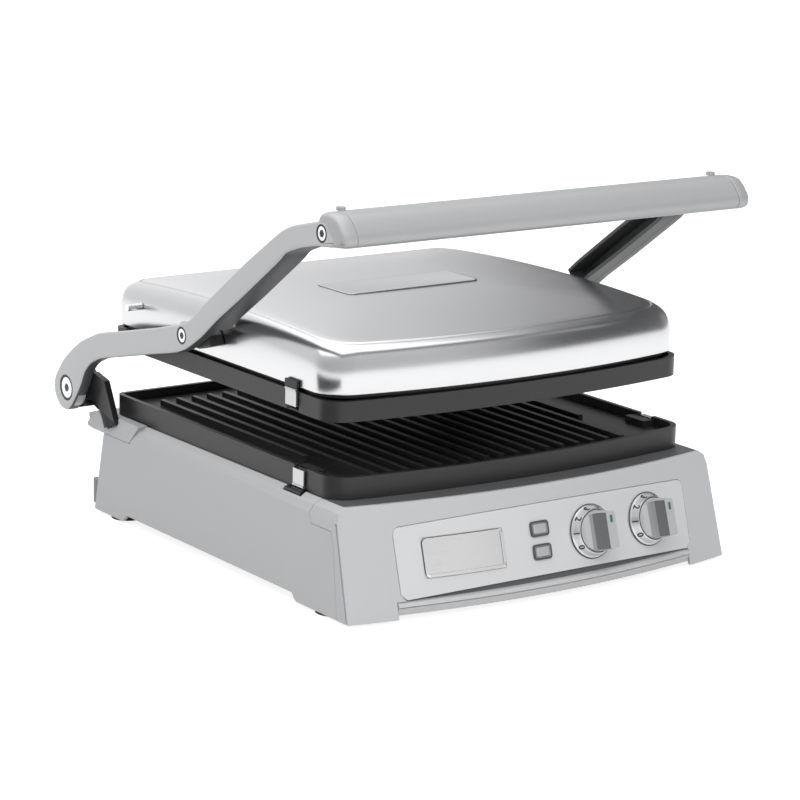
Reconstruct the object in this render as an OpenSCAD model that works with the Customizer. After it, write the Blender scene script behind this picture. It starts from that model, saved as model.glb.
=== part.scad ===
// Electric indoor grill with a floating lid, at rest with the lid raised.
// Millimetres. +X right as seen from the knobs, -Y front, +Z up, counter at Z = 0.

/* [Base] */
// width of the base at its foot
base_w = 370; // [330:1:420]
// height of the deck above the leg bottoms
base_h = 84; // [70:1:100]
// inward lean of each side wall over the base height
side_in = 3.4; // [1:0.1:8]
// distance of the front corners from the base centre line, at the foot
front_y = 181.6; // [165:0.5:200]
// how far the front face leans back over the base height
front_lean = 24.1; // [12:0.1:32]
// bow of the front face over the base width
front_bow = 21.4; // [8:0.1:30]
// distance of the rear edge from the base centre line, at the foot
rear_y = 204; // [185:0.5:220]
// how far the rear edge leans in over the base height
rear_lean = 13; // [5:0.1:20]
// thickness of the moulded base walls
wall = 3; // [2:0.1:4]
// height of the rubber feet
foot_h = 3; // [2:0.1:5]
// radius of the rubber feet
foot_r = 14; // [9:0.5:16]
// height of the lower edge of a side wall between its legs
edge_z = 5; // [3:0.5:9]
// width of the sloping shoulder along the top of each side wall
shoulder_w = 8; // [5:0.5:12]

/* [Control panel] */
// distance of the panel's ends from the base's sides
panel_in = 42; // [36:0.5:55]
// how far the panel sits to the right of the middle
panel_shift = 3.5; // [0:0.5:6]
// height of the panel's lower corners
panel_z0 = 12.6; // [11.5:0.1:16]
// height of the panel's upper corners
panel_z1 = 66; // [58:0.5:70]
// upward arch of the panel's edges at mid width
panel_arch = 4.5; // [2:0.1:6]
// radius of the panel's corners
panel_r = 4.5; // [2:0.5:8]
// gap round a fitted panel
seam = 0.4; // [0.3:0.05:0.8]
// gap between the badge and the sear buttons
badge_gap = 34.5; // [20:0.5:45]
// half of the badge's height
badge_h = 14.5; // [10:0.5:16]
// distance of the badge from the panel's left end
badge_in = 25.7; // [14:0.1:40]
// height of the controls' centre line on the front face
ctrl_z = 42.6; // [38:0.5:46]
// distance of the right knob from the panel's right end
knob_off = 42; // [34:0.5:50]
// distance between the two knobs
knob_pitch = 62; // [54:0.5:66]
// outer radius of a dial ring
dial_r = 20.9; // [18:0.1:23]
// height of a dial ring above the panel
dial_h = 8; // [4:0.1:10]
// radius of a knob's disc
knob_r = 16.4; // [13:0.1:17.5]
// height of a knob above the panel
knob_h = 26.5; // [22:0.5:36]
// thickness of a knob's grip bar
knob_bar = 9; // [6:0.5:12]
// radius of a knob's stem
stem_r = 4; // [3:0.1:5]
// width of a sear button's cap
key_w = 12.8; // [9:0.1:15]
// height of a sear button's cap
key_h = 7.6; // [6:0.1:9]
// distance of the sear buttons from the left knob
key_off = 50.8; // [40:0.1:60]
// distance between the two sear buttons
key_pitch = 17.4; // [15:0.1:20]
// travel of a sear button
key_travel = 1.5; // [1:0.1:2]

/* [Plates] */
// inset of the plates from the base's sides
plate_in = 12.4; // [11.5:0.1:20]
// bow of a plate's front edge
plate_bow = 15; // [8:0.5:20]
// corner radius of a plate
plate_r = 20; // [8:0.5:24]
// setback of the lower plate's front corners from the foot of the base
low_setback = 40.6; // [34:0.1:50]
// setback of the lower plate's rear edge from the foot of the base
low_rear_in = 14.3; // [12:0.1:22]
// height of the lower plate's wall
low_h = 17.4; // [14:0.1:22]
// setback of the upper plate's front from the lower plate's
up_setback = 6; // [0:0.1:12]
// how far the upper plate's rear edge stands out over the lower plate's
up_rear_out = 2.3; // [0:0.1:4]
// height of the upper plate's wall
up_h = 16.2; // [14:0.5:20]
// thickness of a plate's wall
plate_t = 4; // [3:0.1:5]
// thickness of a plate's floor
floor_t = 3.6; // [3:0.1:5]
// distance between two ribs
rib_pitch = 15.2; // [13:0.1:18]
// width of a rib
rib_t = 4.2; // [3:0.1:7]
// height of a rib
rib_h = 4.4; // [3:0.1:6]
// gap between the two plates at rest
cook_gap = 41.6; // [36:0.1:50]
// distance of the clips from the centre line, lower plate
clip_y = 95.5; // [85:0.5:105]
// width of a clip
clip_w = 15; // [11:0.5:18]
// radius of the heating rods
rod_r = 3.2; // [2.5:0.1:3.5]

/* [Lid] */
// inset of the lid's sides from the plates' sides
lid_in = 0.2; // [0:0.1:3]
// setback of the lid's front from the upper plate's
lid_setback = 3.6; // [0:0.1:8]
// bow of the lid's front edge
lid_bow = 18.4; // [10:0.5:22]
// corner radius of the lid
lid_r = 27; // [18:0.5:36]
// how far the lid's rear edge stands out over the upper plate's
lid_rear_out = 1; // [0:0.1:3]
// height of the lid's upright skirt
skirt_h = 30; // [22:0.5:36]
// height of the sloping band over the skirt
bevel_h = 7; // [5:0.5:14]
// width of the sloping band over the skirt
bevel_w = 12; // [8:0.5:18]
// rise of the top over the sloping band at mid width
dome_h = 3.4; // [1:0.1:8]
// rise of the top's crease from the front to its middle
crown_h = 5.6; // [2:0.1:9]
// thickness of the lid's sheet
sheet = 1.4; // [1:0.1:2]

/* [Arms] */
// how far the arms' outer faces stand out from the foot of the base
arm_out = 11.5; // [11.4:0.1:20]
// depth of an arm from its outer face to its inner edge
arm_d = 10.2; // [9:0.1:10.3]
// thickness of an arm's upper length
arm_w = 20; // [14:0.2:21]
// thickness of an arm's walls
arm_t = 3.2; // [2.4:0.1:4]
// hinge axis behind the foot of the base
hinge_back = 28.4; // [24:0.2:34]
// hinge axis above the deck
hinge_up = 16.4; // [13:0.2:20]
// radius of the hinge pins
hinge_r = 5; // [4:0.1:6]
// radius of the heads of the hinge pins
hinge_head = 9.8; // [8:0.1:11]
// lid pivot behind the centre line
pivot_y = 42.8; // [38:0.2:48]
// lid pivot above the lid's lower edge
pivot_up = 18.3; // [15:0.1:22]
// how far the grip's screws lie in front of the lid pivot
reach_y = 198; // [185:0.5:210]
// how far the grip's screws lie above the lid pivot
reach_z = 113.2; // [100:0.1:125]
// radius of the pivot screws
pivot_r = 4; // [3:0.1:5]
// length of each end piece of the grip
end_len = 13.2; // [12:0.1:20]
// running clearance of pins in their bores
run = 0.06; // [0.02:0.01:0.1]

/* [Drip tray] */
// clearance of the tray's walls from the base's sides
tray_in = 35; // [20:1:60]
// depth of the tray from front to rear
tray_d = 150; // [110:1:170]
// height of the tray's wall
tray_h = 11; // [8:0.5:12.5]
// thickness of the tray's rear bar
bar_t = 21.4; // [16:0.2:26]
// inset of the tray's rear bar from the base's sides
bar_in = 5; // [3:1:30]

/* [Hidden] */
$fn = 96;
rest = 0.3;
leg_z = -0.8;
ground = foot_h - leg_z;
mid_y = 15.5;
side_k = side_in / base_h;
lean = front_lean / base_h;
tilt = atan(lean);
rear_k = rear_lean / base_h;
bow_r = ((base_w / 2) * (base_w / 2) + front_bow * front_bow) / (2 * front_bow);
bow_c = bow_r - front_y - front_bow;
panel_w = base_w / 2 - panel_in;
knob_x1 = panel_w - knob_off - knob_pitch;
key_x = knob_x1 - key_off;
badge_w = (key_x - badge_gap + panel_w - badge_in) / 2;
badge_x = -panel_w + badge_in + badge_w;
plate_w = base_w / 2 - plate_in;
low_front = front_y - low_setback;
low_rear = rear_y - low_rear_in;
up_front = low_front - up_setback;
up_rear = low_rear + up_rear_out;
lid_w = plate_w - lid_in;
lid_front = up_front - lid_setback;
lid_rear = up_rear + lid_rear_out;
arm_x = base_w / 2 + arm_out;
grip_w = arm_x - end_len;
hinge_y = rear_y + hinge_back;
hinge_z = base_h + hinge_up;
tray_w = base_w / 2 - tray_in;
bar_w = base_w / 2 - bar_in;
hole_w = plate_w - 22.6;
hole_f = low_front - 16;
hole_r = low_rear - 17.4;
cover_z = base_h - 17;
cover_y = rear_y - 53.7;
gland_x = base_w / 2 - 75;
gland_z = base_h - 40;
foot_f = front_y - 44;
foot_x = base_w / 2 - wall - foot_r + 0.6;
foot_b = rear_y - 28;
rib_n = floor((plate_w - 28) / rib_pitch);
low_z = base_h + rest;
low_top = low_z + low_h;
up_z = low_top + cook_gap;
up_top = up_z + up_h;
lid_z = up_top + 3.2;
pivot_z = lid_z + pivot_up;
inner_w = base_w / 2 - side_in - shoulder_w;
tower_in = plate_w + 0.9;
tower_out = arm_x - arm_d - 0.6;
cover_out = base_w / 2 - side_k * cover_z + 0.1;
tray_z = edge_z + wall + 0.5;

function side_x(z) = base_w / 2 - side_k * z;
function bow_at(z) = bow_r - lean * z;
function face_y(x, z) = bow_c - sqrt(bow_at(z) * bow_at(z) - x * x);
function arch(x) = panel_arch * (1 - (x / panel_w) * (x / panel_w));
function unit(v) = v / norm(v);
function miter(a, b, c, t) =
    let (u = unit(b - a), v = unit(c - b), n = [-u[1], u[0]], m = [-v[1], v[0]])
    b + (n + m) * (t / (1 + n * m));
function inset(p, t) =
    [for (i = [0 : len(p) - 1])
        miter(p[(i + len(p) - 1) % len(p)], p[i], p[(i + 1) % len(p)], t)];

// puts the working frame (centre line of the base, leg bottoms) into the library frame
module place() {
    translate([0, -mid_y, ground]) children();
}

// both hands of a piece drawn for the left
module other_side() {
    mirror([1, 0, 0]) children();
}

// extrudes a profile given in Y and Z along X
module along_x(x0, x1) {
    translate([x0, 0, 0]) rotate([90, 0, 90]) linear_extrude(x1 - x0) children();
}

// extrudes a profile given in X and Z along Y
module along_y(y0, y1) {
    translate([0, y1, 0]) rotate([90, 0, 0]) linear_extrude(y1 - y0) children();
}

// a round bar along X
module bar_x(x0, x1, y, z, r) {
    translate([x0, y, z]) rotate([0, 90, 0]) cylinder(h = x1 - x0, r = r);
}

// local frame on the front face: Z out along the normal, Y up the face
module on_face(x, z) {
    turn = asin(x / bow_at(z));
    translate([x, face_y(x, z), z]) rotate([0, 0, turn]) rotate([90 - tilt, 0, 0]) children();
}

// band of the bowed, leaning front wall between two heights
module front_band(z0, z1, t_in, t_out) {
    translate([0, bow_c, 0]) rotate([0, 0, -108]) rotate_extrude(angle = 36, $fn = 180)
        polygon([
            [bow_at(z0) - t_in, z0],
            [bow_at(z0) + t_out, z0],
            [bow_at(z1) + t_out, z1],
            [bow_at(z1) - t_in, z1]]);
}

// cross-section of the whole base, used to trim what spans it
module base_section() {
    polygon([
        [-side_x(leg_z), leg_z],
        [side_x(leg_z), leg_z],
        [side_x(base_h - 12), base_h - 12],
        [side_x(base_h - 12) - 2.4, base_h - 4],
        [inner_w, base_h],
        [-inner_w, base_h],
        [-side_x(base_h - 12) + 2.4, base_h - 4],
        [-side_x(base_h - 12), base_h - 12]]);
}

// cross-section of the left side wall with its shoulder
module side_section() {
    polygon([
        [-side_x(leg_z), leg_z],
        [-side_x(leg_z) + wall, leg_z],
        [-side_x(base_h - 12) + wall, base_h - 12.6],
        [-side_x(base_h - 12) + 2.4 + wall * 0.8, base_h - 6],
        [-inner_w, base_h - wall],
        [-inner_w, base_h],
        [-side_x(base_h - 12) + 2.4, base_h - 4],
        [-side_x(base_h - 12), base_h - 12]]);
}

// side view of the corner piece that belongs to the front bezel
module cheek_region(g) {
    polygon([
        [-230, leg_z - 1],
        [-front_y + 14.6 + g, leg_z - 1],
        [-front_y + 24.6 + g, base_h - 28.5],
        [-front_y + 28.6 + g, base_h - 18.6 - g],
        [-front_y + 55.6 + g, base_h - 18.6 - g],
        [-front_y + 59.2 + g, base_h - 11],
        [-front_y + 53.6 + g, base_h + 1],
        [-230, base_h + 1]]);
}

// side view of the side wall
module side_region() {
    polygon([
        [-230, leg_z - 1],
        [-front_y + 69.6, leg_z - 1],
        [-front_y + 74.6, leg_z + 2],
        [-front_y + 78, edge_z],
        [rear_y - 54, edge_z],
        [rear_y - 48, leg_z],
        [rear_y - 48, leg_z - 1],
        [rear_y + 1, leg_z - 1],
        [rear_y - rear_k * leg_z, leg_z],
        [rear_y - rear_k * cover_z, cover_z],
        [cover_y, cover_z],
        [cover_y - 15.7, base_h + 1],
        [-230, base_h + 1]]);
}

// a plate's plan: straight sides, bowed front, rounded front corners
module plan(w, yf, bow, r, yr, rr) {
    big = (w * w + bow * bow) / (2 * bow);
    cy = -yf - bow + big;
    yc = cy - sqrt((big - r) * (big - r) - (w - r) * (w - r));
    xt = (w - r) * big / (big - r);
    union() {
        translate([-w, yc]) square([2 * w, yr - rr - yc]);
        translate([-w + rr, yc]) square([2 * w - 2 * rr, yr - yc]);
        translate([w - rr, yr - rr]) circle(rr);
        translate([-w + rr, yr - rr]) circle(rr);
        translate([w - r, yc]) circle(r);
        translate([-w + r, yc]) circle(r);
        intersection() {
            translate([0, cy]) circle(big, $fn = 360);
            translate([-xt, -yf - bow - 5]) square([2 * xt, yc + yf + bow + 5.01]);
        }
    }
}

module low_plan(d) {
    plan(plate_w - d, low_front - d, plate_bow, plate_r - d * 0.8, low_rear - d, 8 - d * 0.8);
}

module up_plan(d) {
    plan(plate_w - d, up_front - d, plate_bow, plate_r - d * 0.8, up_rear - d, 8 - d * 0.8);
}

module lid_plan(d) {
    plan(lid_w - d, lid_front - d, lid_bow, lid_r - d * 0.1, lid_rear - d, 16 - d * 0.05);
}

// closed outline of the control panel, grown by g
module panel_outline(g, low) {
    w = panel_w + g;
    n = 12;
    r = panel_r + g;
    top = [for (i = [0 : n]) let (x = -w + r + (2 * w - 2 * r) * i / n) [x, panel_z1 + g + arch(x)]];
    bot = [for (i = [n : -1 : 0])
        let (x = -w + r + (2 * w - 2 * r) * i / n)
        [x, low ? panel_z0 - 0.9 : panel_z0 - g + arch(x)]];
    translate([panel_shift, 0]) polygon(concat(
        [[-w, panel_z0 + r], [-w, panel_z1 - r], [-w + 0.3 * r, panel_z1 - 0.3 * r]],
        top,
        [[w - 0.3 * r, panel_z1 - 0.3 * r], [w, panel_z1 - r], [w, panel_z0 + r]],
        bot));
}

// ---- base ----

module side_panel() {
    difference() {
        intersection() {
            along_y(-200, rear_y + 1) side_section();
            along_x(-base_w / 2 - 2, -inner_w + 1) side_region();
        }
        along_x(-base_w / 2 - 2, -inner_w + 2) cheek_region(seam);
        // room for the lower clip's thumb piece
        translate([-inner_w - 4.6, -clip_y - clip_w / 2 - 1.5, base_h - 7])
            cube([8, clip_w + 11, 9]);
    }
}

module side_panel_left() {
    color([0.71, 0.72, 0.73]) place() side_panel();
}

module side_panel_right() {
    color([0.71, 0.72, 0.73]) place() other_side() side_panel();
}

module front_bezel() {
    color([0.76, 0.77, 0.78]) place() difference() {
        union() {
            intersection() {
                front_band(leg_z, base_h, wall, 0);
                along_y(-240, -90) base_section();
            }
            for (s = [0, 1]) mirror([s, 0, 0]) intersection() {
                along_y(-200, -100) side_section();
                along_x(-base_w / 2 - 2, -inner_w + 1) cheek_region(0);
                translate([0, bow_c, leg_z]) cylinder(h = 90, r1 = bow_at(leg_z) - 1,
                    r2 = bow_at(leg_z + 90) - 1, $fn = 360);
            }
        }
        along_y(-240, -150) panel_outline(seam, true);
        // opening between the front legs, filled by the lip
        translate([-panel_w - 0.6, -240, leg_z - 1]) cube([2 * panel_w + 1.2, 100, panel_z0 + 0.4 - leg_z]);
        // groove down the side of each front corner
        for (m = [0, 1]) mirror([m, 0, 0]) intersection() {
            along_x(-base_w / 2 - 4, 0) polygon([
                [-front_y + lean * (leg_z - 1) + 1.2, leg_z - 1],
                [-front_y + lean * (leg_z - 1) + 3.2, leg_z - 1],
                [-front_y + lean * (base_h - 12) + 3.2, base_h - 12],
                [-front_y + lean * (base_h - 12) + 1.2, base_h - 12]]);
            along_y(-front_y - 20, 0) polygon([
                [-base_w / 2 - 4, leg_z - 2],
                [-side_x(leg_z - 2) + 1.7, leg_z - 2],
                [-side_x(base_h) + 1.7, base_h],
                [-base_w / 2 - 4, base_h]]);
        }
    }
}

module front_lip() {
    color([0.66, 0.67, 0.68]) place() intersection() {
        union() {
            translate([0, bow_c, 0]) rotate([0, 0, -108]) rotate_extrude(angle = 36, $fn = 180)
                polygon([
                    [bow_at(2) - 5.6, 2],
                    [bow_at(2) - 2.2, 2],
                    [bow_at(7.4) + 0.6, 7.4],
                    [bow_at(7.6) - 0.6, 7.6],
                    [bow_at(8.2) - 0.6, 8.2],
                    [bow_at(8.4) + 1.5, 8.4],
                    [bow_at(10.6) + 0.8, 10.6],
                    [bow_at(11.5) - 0.8, 11.5],
                    [bow_at(11.6) - 3.4, 11.6],
                    [bow_at(22) - 3.4, 22],
                    [bow_at(22) - 5.6, 22]]);
        }
        translate([-panel_w, -240, 0]) cube([2 * panel_w, 100, 40]);
    }
}

module control_panel() {
    color([0.77, 0.78, 0.79]) place() difference() {
        intersection() {
            front_band(8, 76, wall - 0.2, 0.2);
            along_y(-240, -140) panel_outline(0, false);
        }
        for (i = [0, 1]) on_face(knob_x1 + i * knob_pitch, ctrl_z)
            translate([0, 0, -8]) cylinder(h = 16, r = stem_r + 0.8);
        for (i = [-1, 1]) on_face(key_x, ctrl_z + 0.4 + i * key_pitch / 2)
            translate([-key_w / 2 - 0.5, -key_h / 2 - 0.5, -8]) cube([key_w + 1, key_h + 1, 16]);
        intersection() {
            front_band(8, 76, 0.6, 2);
            along_y(-240, -140) translate([badge_x, ctrl_z - 0.6])
                square([2 * badge_w + 0.8, 2 * badge_h + 0.8], center = true);
        }
        // step that clears the upstand behind the lower edge
        front_band(6, 22.4, wall + 1, -3.0);
    }
}

module badge_plate() {
    color([0.86, 0.87, 0.88]) place() difference() {
        intersection() {
            front_band(8, 76, 0.45, 1.2);
            along_y(-240, -140) translate([badge_x, ctrl_z - 0.6]) union() {
                square([2 * badge_w, 2 * badge_h - 8], center = true);
                square([2 * badge_w - 8, 2 * badge_h], center = true);
                for (i = [-1, 1], j = [-1, 1])
                    translate([i * (badge_w - 4), j * (badge_h - 4)]) circle(4);
            }
        }
        intersection() {
            front_band(8, 76, -0.8, 3);
            along_y(-240, -140) translate([badge_x, ctrl_z - 0.6])
                square([2 * badge_w - 5, 2 * badge_h - 5], center = true);
        }
    }
}

module button_bezels() {
    color([0.42, 0.43, 0.44]) place()
        for (i = [-1, 1]) on_face(key_x, ctrl_z + 0.4 + i * key_pitch / 2) difference() {
            translate([-key_w / 2 - 2.2, -key_h / 2 - 2.2, 0.5])
                cube([key_w + 4.4, key_h + 4.4, 1.3]);
            translate([-key_w / 2 - 0.5, -key_h / 2 - 0.5, -1])
                cube([key_w + 1, key_h + 1, 4]);
        }
}

module dial_ring(x) {
    on_face(x, ctrl_z) rotate_extrude() polygon([
        [knob_r + 0.5, 0.6],
        [dial_r, 0.6],
        [dial_r, 1.6],
        [dial_r - 0.9, 2.2],
        [knob_r + 1.4, dial_h],
        [knob_r + 0.5, dial_h]]);
}

module dial_ring_lower() {
    color([0.87, 0.88, 0.89]) place() dial_ring(knob_x1);
}

module dial_ring_upper() {
    color([0.87, 0.88, 0.89]) place() dial_ring(knob_x1 + knob_pitch);
}

module base_deck() {
    color([0.3, 0.31, 0.32]) place() difference() {
        intersection() {
            translate([-inner_w + 0.3, -230, base_h - wall])
                cube([2 * inner_w - 0.6, 230 + rear_y - rear_lean - 4, wall]);
            translate([0, bow_c, base_h - wall - 1])
                cylinder(h = wall + 2, r = bow_at(base_h) - wall - 0.9, $fn = 360);
        }
        translate([-hole_w, -hole_f, base_h - wall - 1])
            cube([2 * hole_w, hole_f + hole_r, wall + 2]);
        for (s = [-1, 1]) translate([s * inner_w - 6, -clip_y - clip_w / 2 - 1.5, base_h - 7])
            cube([12, clip_w + 11, 9]);
        for (s = [-1, 1]) translate([s * inner_w - 6, cover_y - 16.3, base_h - wall - 1])
            cube([12, 80, wall + 2]);
    }
}

module bottom_cover() {
    color([0.2, 0.2, 0.21]) place() union() {
        difference() {
            translate([-side_x(edge_z) + wall + 0.4, -front_y + 7.6, edge_z])
                cube([base_w - 2 * wall - 1.4, front_y - 7.6 + rear_y - 9, wall]);
            for (i = [-5 : 5]) translate([i * 24 - 4, -60, edge_z - 1]) cube([8, 60, wall + 2]);
        }
        for (s = [-1, 1], y = [-foot_f, foot_b])
            translate([s * foot_x - 13, y - 13, leg_z]) cube([26, 26, edge_z - leg_z]);
    }
}

module rear_panel() {
    color([0.68, 0.69, 0.7]) place() difference() {
        intersection() {
            along_x(-side_x(40) + wall + 1.2, side_x(40) - wall - 1.2) polygon([
                [rear_y - rear_k * 21 - 4, 21],
                [rear_y - rear_k * 21 - 1, 21],
                [rear_y - rear_k * (cover_z - 0.6) - 1, (cover_z - 0.6)],
                [rear_y - rear_k * (cover_z - 0.6) - 1, base_h - wall - 0.4],
                [rear_y - rear_k * (cover_z - 0.6) - 4, base_h - wall - 0.4]]);
            along_y(0, 260) base_section();
        }
        translate([gland_x, rear_y - 40, gland_z]) rotate([-90, 0, 0]) cylinder(h = 60, r = 8.1);
        for (i = [-4 : 4]) translate([i * 12 - 20, 150, 34]) cube([4, 80, 22]);
        // clear of the hinge covers
        for (s = [-1, 1]) translate([s * (plate_w + 7.4) - 34, cover_y, cover_z - 0.4])
            cube([68, 80, 30]);
    }
}

module cord_gland() {
    color([0.12, 0.12, 0.13]) place() translate([gland_x, rear_y - rear_k * gland_z - 12, gland_z])
        rotate([-90, 0, 0]) difference() {
            union() {
                cylinder(h = 15, r = 7.7);
                translate([0, 0, 13.4]) cylinder(h = 2.6, r = 11);
                cylinder(h = 2.4, r = 10);
            }
            translate([0, 0, -1]) cylinder(h = 20, r = 4);
        }
}

module hinge_cover() {
    difference() {
        union() {
            along_x(-cover_out, -tower_in) polygon([
                [cover_y + 0.3, cover_z + 0.4],
                [hinge_y - 20.4, cover_z + 0.4],
                [hinge_y - 11.6, cover_z + 1.6],
                [hinge_y - 10, base_h - 5],
                [hinge_y - 28.4, base_h + 0.6],
                [cover_y - 15.3, base_h + 0.6]]);
            along_x(-cover_out, -plate_w + 20.6) polygon([
                [rear_y - rear_k * (cover_z - 0.6) - 0.6, cover_z + 0.4],
                [hinge_y - 20.4, cover_z + 0.4],
                [hinge_y - 11.6, cover_z + 1.6],
                [hinge_y - 10, base_h - 5],
                [hinge_y - 16.4, base_h - 3],
                [rear_y - rear_k * (cover_z - 0.6) - 0.6, base_h - 3]]);
        }
        // seat of the outer leaf of the hinge tower
        along_x(-cover_out - 1, -cover_out + 2.2) polygon([
            [hinge_y - 64, base_h + 7],
            [hinge_y - 64, base_h - 3.2],
            [hinge_y - 62, base_h - 6.4],
            [hinge_y - 46, base_h - 11.8],
            [hinge_y - 28.8, base_h + 2.2],
            [hinge_y - 10.4, base_h - 13.6],
            [hinge_y + 7.6, base_h + 11]]);
    }
}

module hinge_cover_left() {
    color([0.7, 0.71, 0.72]) place() hinge_cover();
}

module hinge_cover_right() {
    color([0.7, 0.71, 0.72]) place() other_side() hinge_cover();
}

module hinge_tower() {
    difference() {
        union() {
            along_x(-tower_out, -cover_out + 1.9) polygon([
                [hinge_y - 62.8, base_h - 2],
                [hinge_y - 61, base_h - 5],
                [hinge_y - 46, base_h - 10.6],
                [hinge_y - 38.6, base_h + 4],
                [hinge_y - 30, hinge_z - 7],
                [hinge_y - 12, hinge_z - 9],
                [hinge_y - 10, hinge_z + 12],
                [hinge_y - 27.4, hinge_z + 17.6],
                [hinge_y - 46.2, hinge_z + 13.4]]);
            along_x(-cover_out + 1.8, -tower_in) polygon([
                [hinge_y - 33, base_h + 0.9],
                [hinge_y - 26.8, base_h + 0.9],
                [hinge_y - 16, hinge_z - 12],
                [hinge_y - 6, hinge_z],
                [hinge_y - 16, hinge_z + 12],
                [hinge_y - 28, hinge_z + 6]]);
            bar_x(-tower_out, -tower_in, hinge_y, hinge_z, 18);
        }
        bar_x(-tower_out - 1, -tower_in + 1, hinge_y, hinge_z, hinge_r + run);
    }
}

module hinge_tower_left() {
    color([0.12, 0.12, 0.13]) place() hinge_tower();
}

module hinge_tower_right() {
    color([0.12, 0.12, 0.13]) place() other_side() hinge_tower();
}

module rubber_feet() {
    color([0.08, 0.08, 0.08]) place()
        for (s = [-1, 1], y = [-foot_f, foot_b])
            translate([s * foot_x, y, -ground])
            difference() {
                cylinder(h = foot_h, r = foot_r);
                translate([0, 0, -1]) cylinder(h = 2.4, r = 4);
            }
}

// ---- plates and heating ----

module clip_pocket(s, y, z) {
    translate([s * (plate_w - plate_t / 2) - plate_t, y - clip_w / 2 - 1, z])
        cube([2 * plate_t, clip_w + 2, 12]);
}

module lower_plate() {
    color([0.1, 0.1, 0.105]) place() difference() {
        union() {
            difference() {
                translate([0, 0, low_z]) linear_extrude(low_h) low_plan(0);
                translate([0, 0, low_z + 6.6 + floor_t]) linear_extrude(low_h) low_plan(plate_t);
                translate([0, 0, low_z - 1]) linear_extrude(7.6) low_plan(plate_t);
            }
            for (i = [-rib_n : rib_n]) {
                x = (i - 0.5) * rib_pitch;
                y0 = abs(i) == rib_n ? -clip_y + 35.5 : -low_front + 8;
                translate([x - rib_t / 2, y0, low_z + 6.4 + floor_t])
                    cube([rib_t, low_rear - 29.7 - y0, rib_h]);
            }
            for (s = [-1, 1]) translate([s * (plate_w - 9) - 6, -clip_y - 12, low_z + 6.4 + floor_t])
                cube([12, 24, 5.4]);
        }
        for (s = [-1, 1]) clip_pocket(s, -clip_y, base_h + 14.1);
        // grease drain over the tray
        translate([-16, low_rear - 27.7, low_z + 3]) cube([32, 6, 10]);
    }
}

module rods(z, y0, y1, w) {
    n = 3;
    p = (y1 - y0) / (2 * n - 1);
    union() {
        for (i = [0 : 2 * n - 1]) bar_x(-w, w, y0 + i * p, z, rod_r);
        for (i = [0 : 2 * n - 2]) {
            s = i % 2 == 0 ? 1 : -1;
            translate([s * w, y0 + (i + 0.5) * p, z]) rotate([0, 0, s > 0 ? -90 : 90])
                rotate_extrude(angle = 180) translate([p / 2, 0]) circle(rod_r, $fn = 48);
        }
    }
}

module lower_element() {
    color([0.35, 0.34, 0.33]) place() rods(low_z + 3.3, -hole_f + 30, hole_r - 32, hole_w - 38);
}

module lower_reflector() {
    color([0.75, 0.76, 0.77]) place() difference() {
        translate([-hole_w + rest, -hole_f + rest, base_h - 13])
            cube([2 * hole_w - 2 * rest, hole_f + hole_r - 2 * rest, 12.6]);
        translate([-hole_w + 2, -hole_f + 2, base_h - 12])
            cube([2 * hole_w - 4, hole_f + hole_r - 4, 14]);
        translate([-18, low_rear - 31.7, base_h - 14]) cube([36, 14, 4]);
    }
}

module upper_plate() {
    color([0.1, 0.1, 0.105]) place() difference() {
        union() {
            difference() {
                translate([0, 0, up_z]) linear_extrude(up_h) up_plan(0);
                translate([0, 0, up_z - 1]) linear_extrude(up_h - 6.6 - floor_t + 1) up_plan(plate_t);
                translate([0, 0, up_top - 6.6]) linear_extrude(7.6) up_plan(plate_t);
            }
            for (i = [-rib_n : rib_n]) {
                x = (i - 0.5) * rib_pitch;
                y0 = abs(i) == rib_n ? -clip_y + 41.5 : -up_front + 8;
                translate([x - rib_t / 2, y0, up_top - 6.4 - floor_t - rib_h])
                    cube([rib_t, up_rear - 28 - y0, rib_h]);
            }
        }
        for (s = [-1, 1]) clip_pocket(s, -clip_y + 12, up_z - 5.9);
    }
}

module upper_element() {
    color([0.35, 0.34, 0.33]) place() rods(up_top - 3.2, -hole_f + 35, hole_r - 27, hole_w - 38);
}

module upper_reflector() {
    color([0.75, 0.76, 0.77]) place() translate([0, 0, up_top + 0.3])
        linear_extrude(0.9)
        plan(plate_w - 18.6, up_front - 23, plate_bow, 14, up_rear - 20, 8);
}

// ---- controls ----

// one side of the grip bar's section, from the skirt up to the end face
function flank(s) = let (b = knob_bar / 2, k = knob_h - dial_h, p = [
    [b + 12, dial_h - 2], [b + 9, dial_h], [b + 6.2, dial_h + 0.05 * k],
    [b + 4.1, dial_h + 0.14 * k], [b + 2.6, dial_h + 0.28 * k], [b + 1.5, dial_h + 0.47 * k],
    [b + 0.6, dial_h + 0.72 * k], [b, knob_h]])
    [for (i = [0 : 7]) let (q = p[s > 0 ? i : 7 - i]) [s * q[0], q[1]]];

module knob(x) {
    on_face(x, ctrl_z) union() {
        translate([0, 0, 1]) cylinder(h = dial_h - 0.8, r = knob_r);
        translate([0, 0, -14]) cylinder(h = 15.4, r = stem_r);
        // grip bar with hollowed flanks
        intersection() {
            translate([0, 0, dial_h - 1])
                cylinder(h = knob_h - dial_h + 1, r1 = knob_r, r2 = knob_r - 1.6);
            translate([0, knob_r + 1, 0]) rotate([90, 0, 0]) linear_extrude(2 * knob_r + 2)
                polygon(concat(flank(1), flank(-1)));
        }
    }
}

module knob_mark(x) {
    on_face(x, ctrl_z) translate([-1, 6, knob_h + 0.02]) cube([2, 5.6, 0.5]);
}

module knob_lower() {
    color([0.6, 0.61, 0.62]) place() knob(knob_x1);
}

module knob_upper() {
    color([0.6, 0.61, 0.62]) place() knob(knob_x1 + knob_pitch);
}

module knob_mark_lower() {
    color([0.05, 0.35, 0.18]) place() knob_mark(knob_x1);
}

module knob_mark_upper() {
    color([0.05, 0.35, 0.18]) place() knob_mark(knob_x1 + knob_pitch);
}

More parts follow.
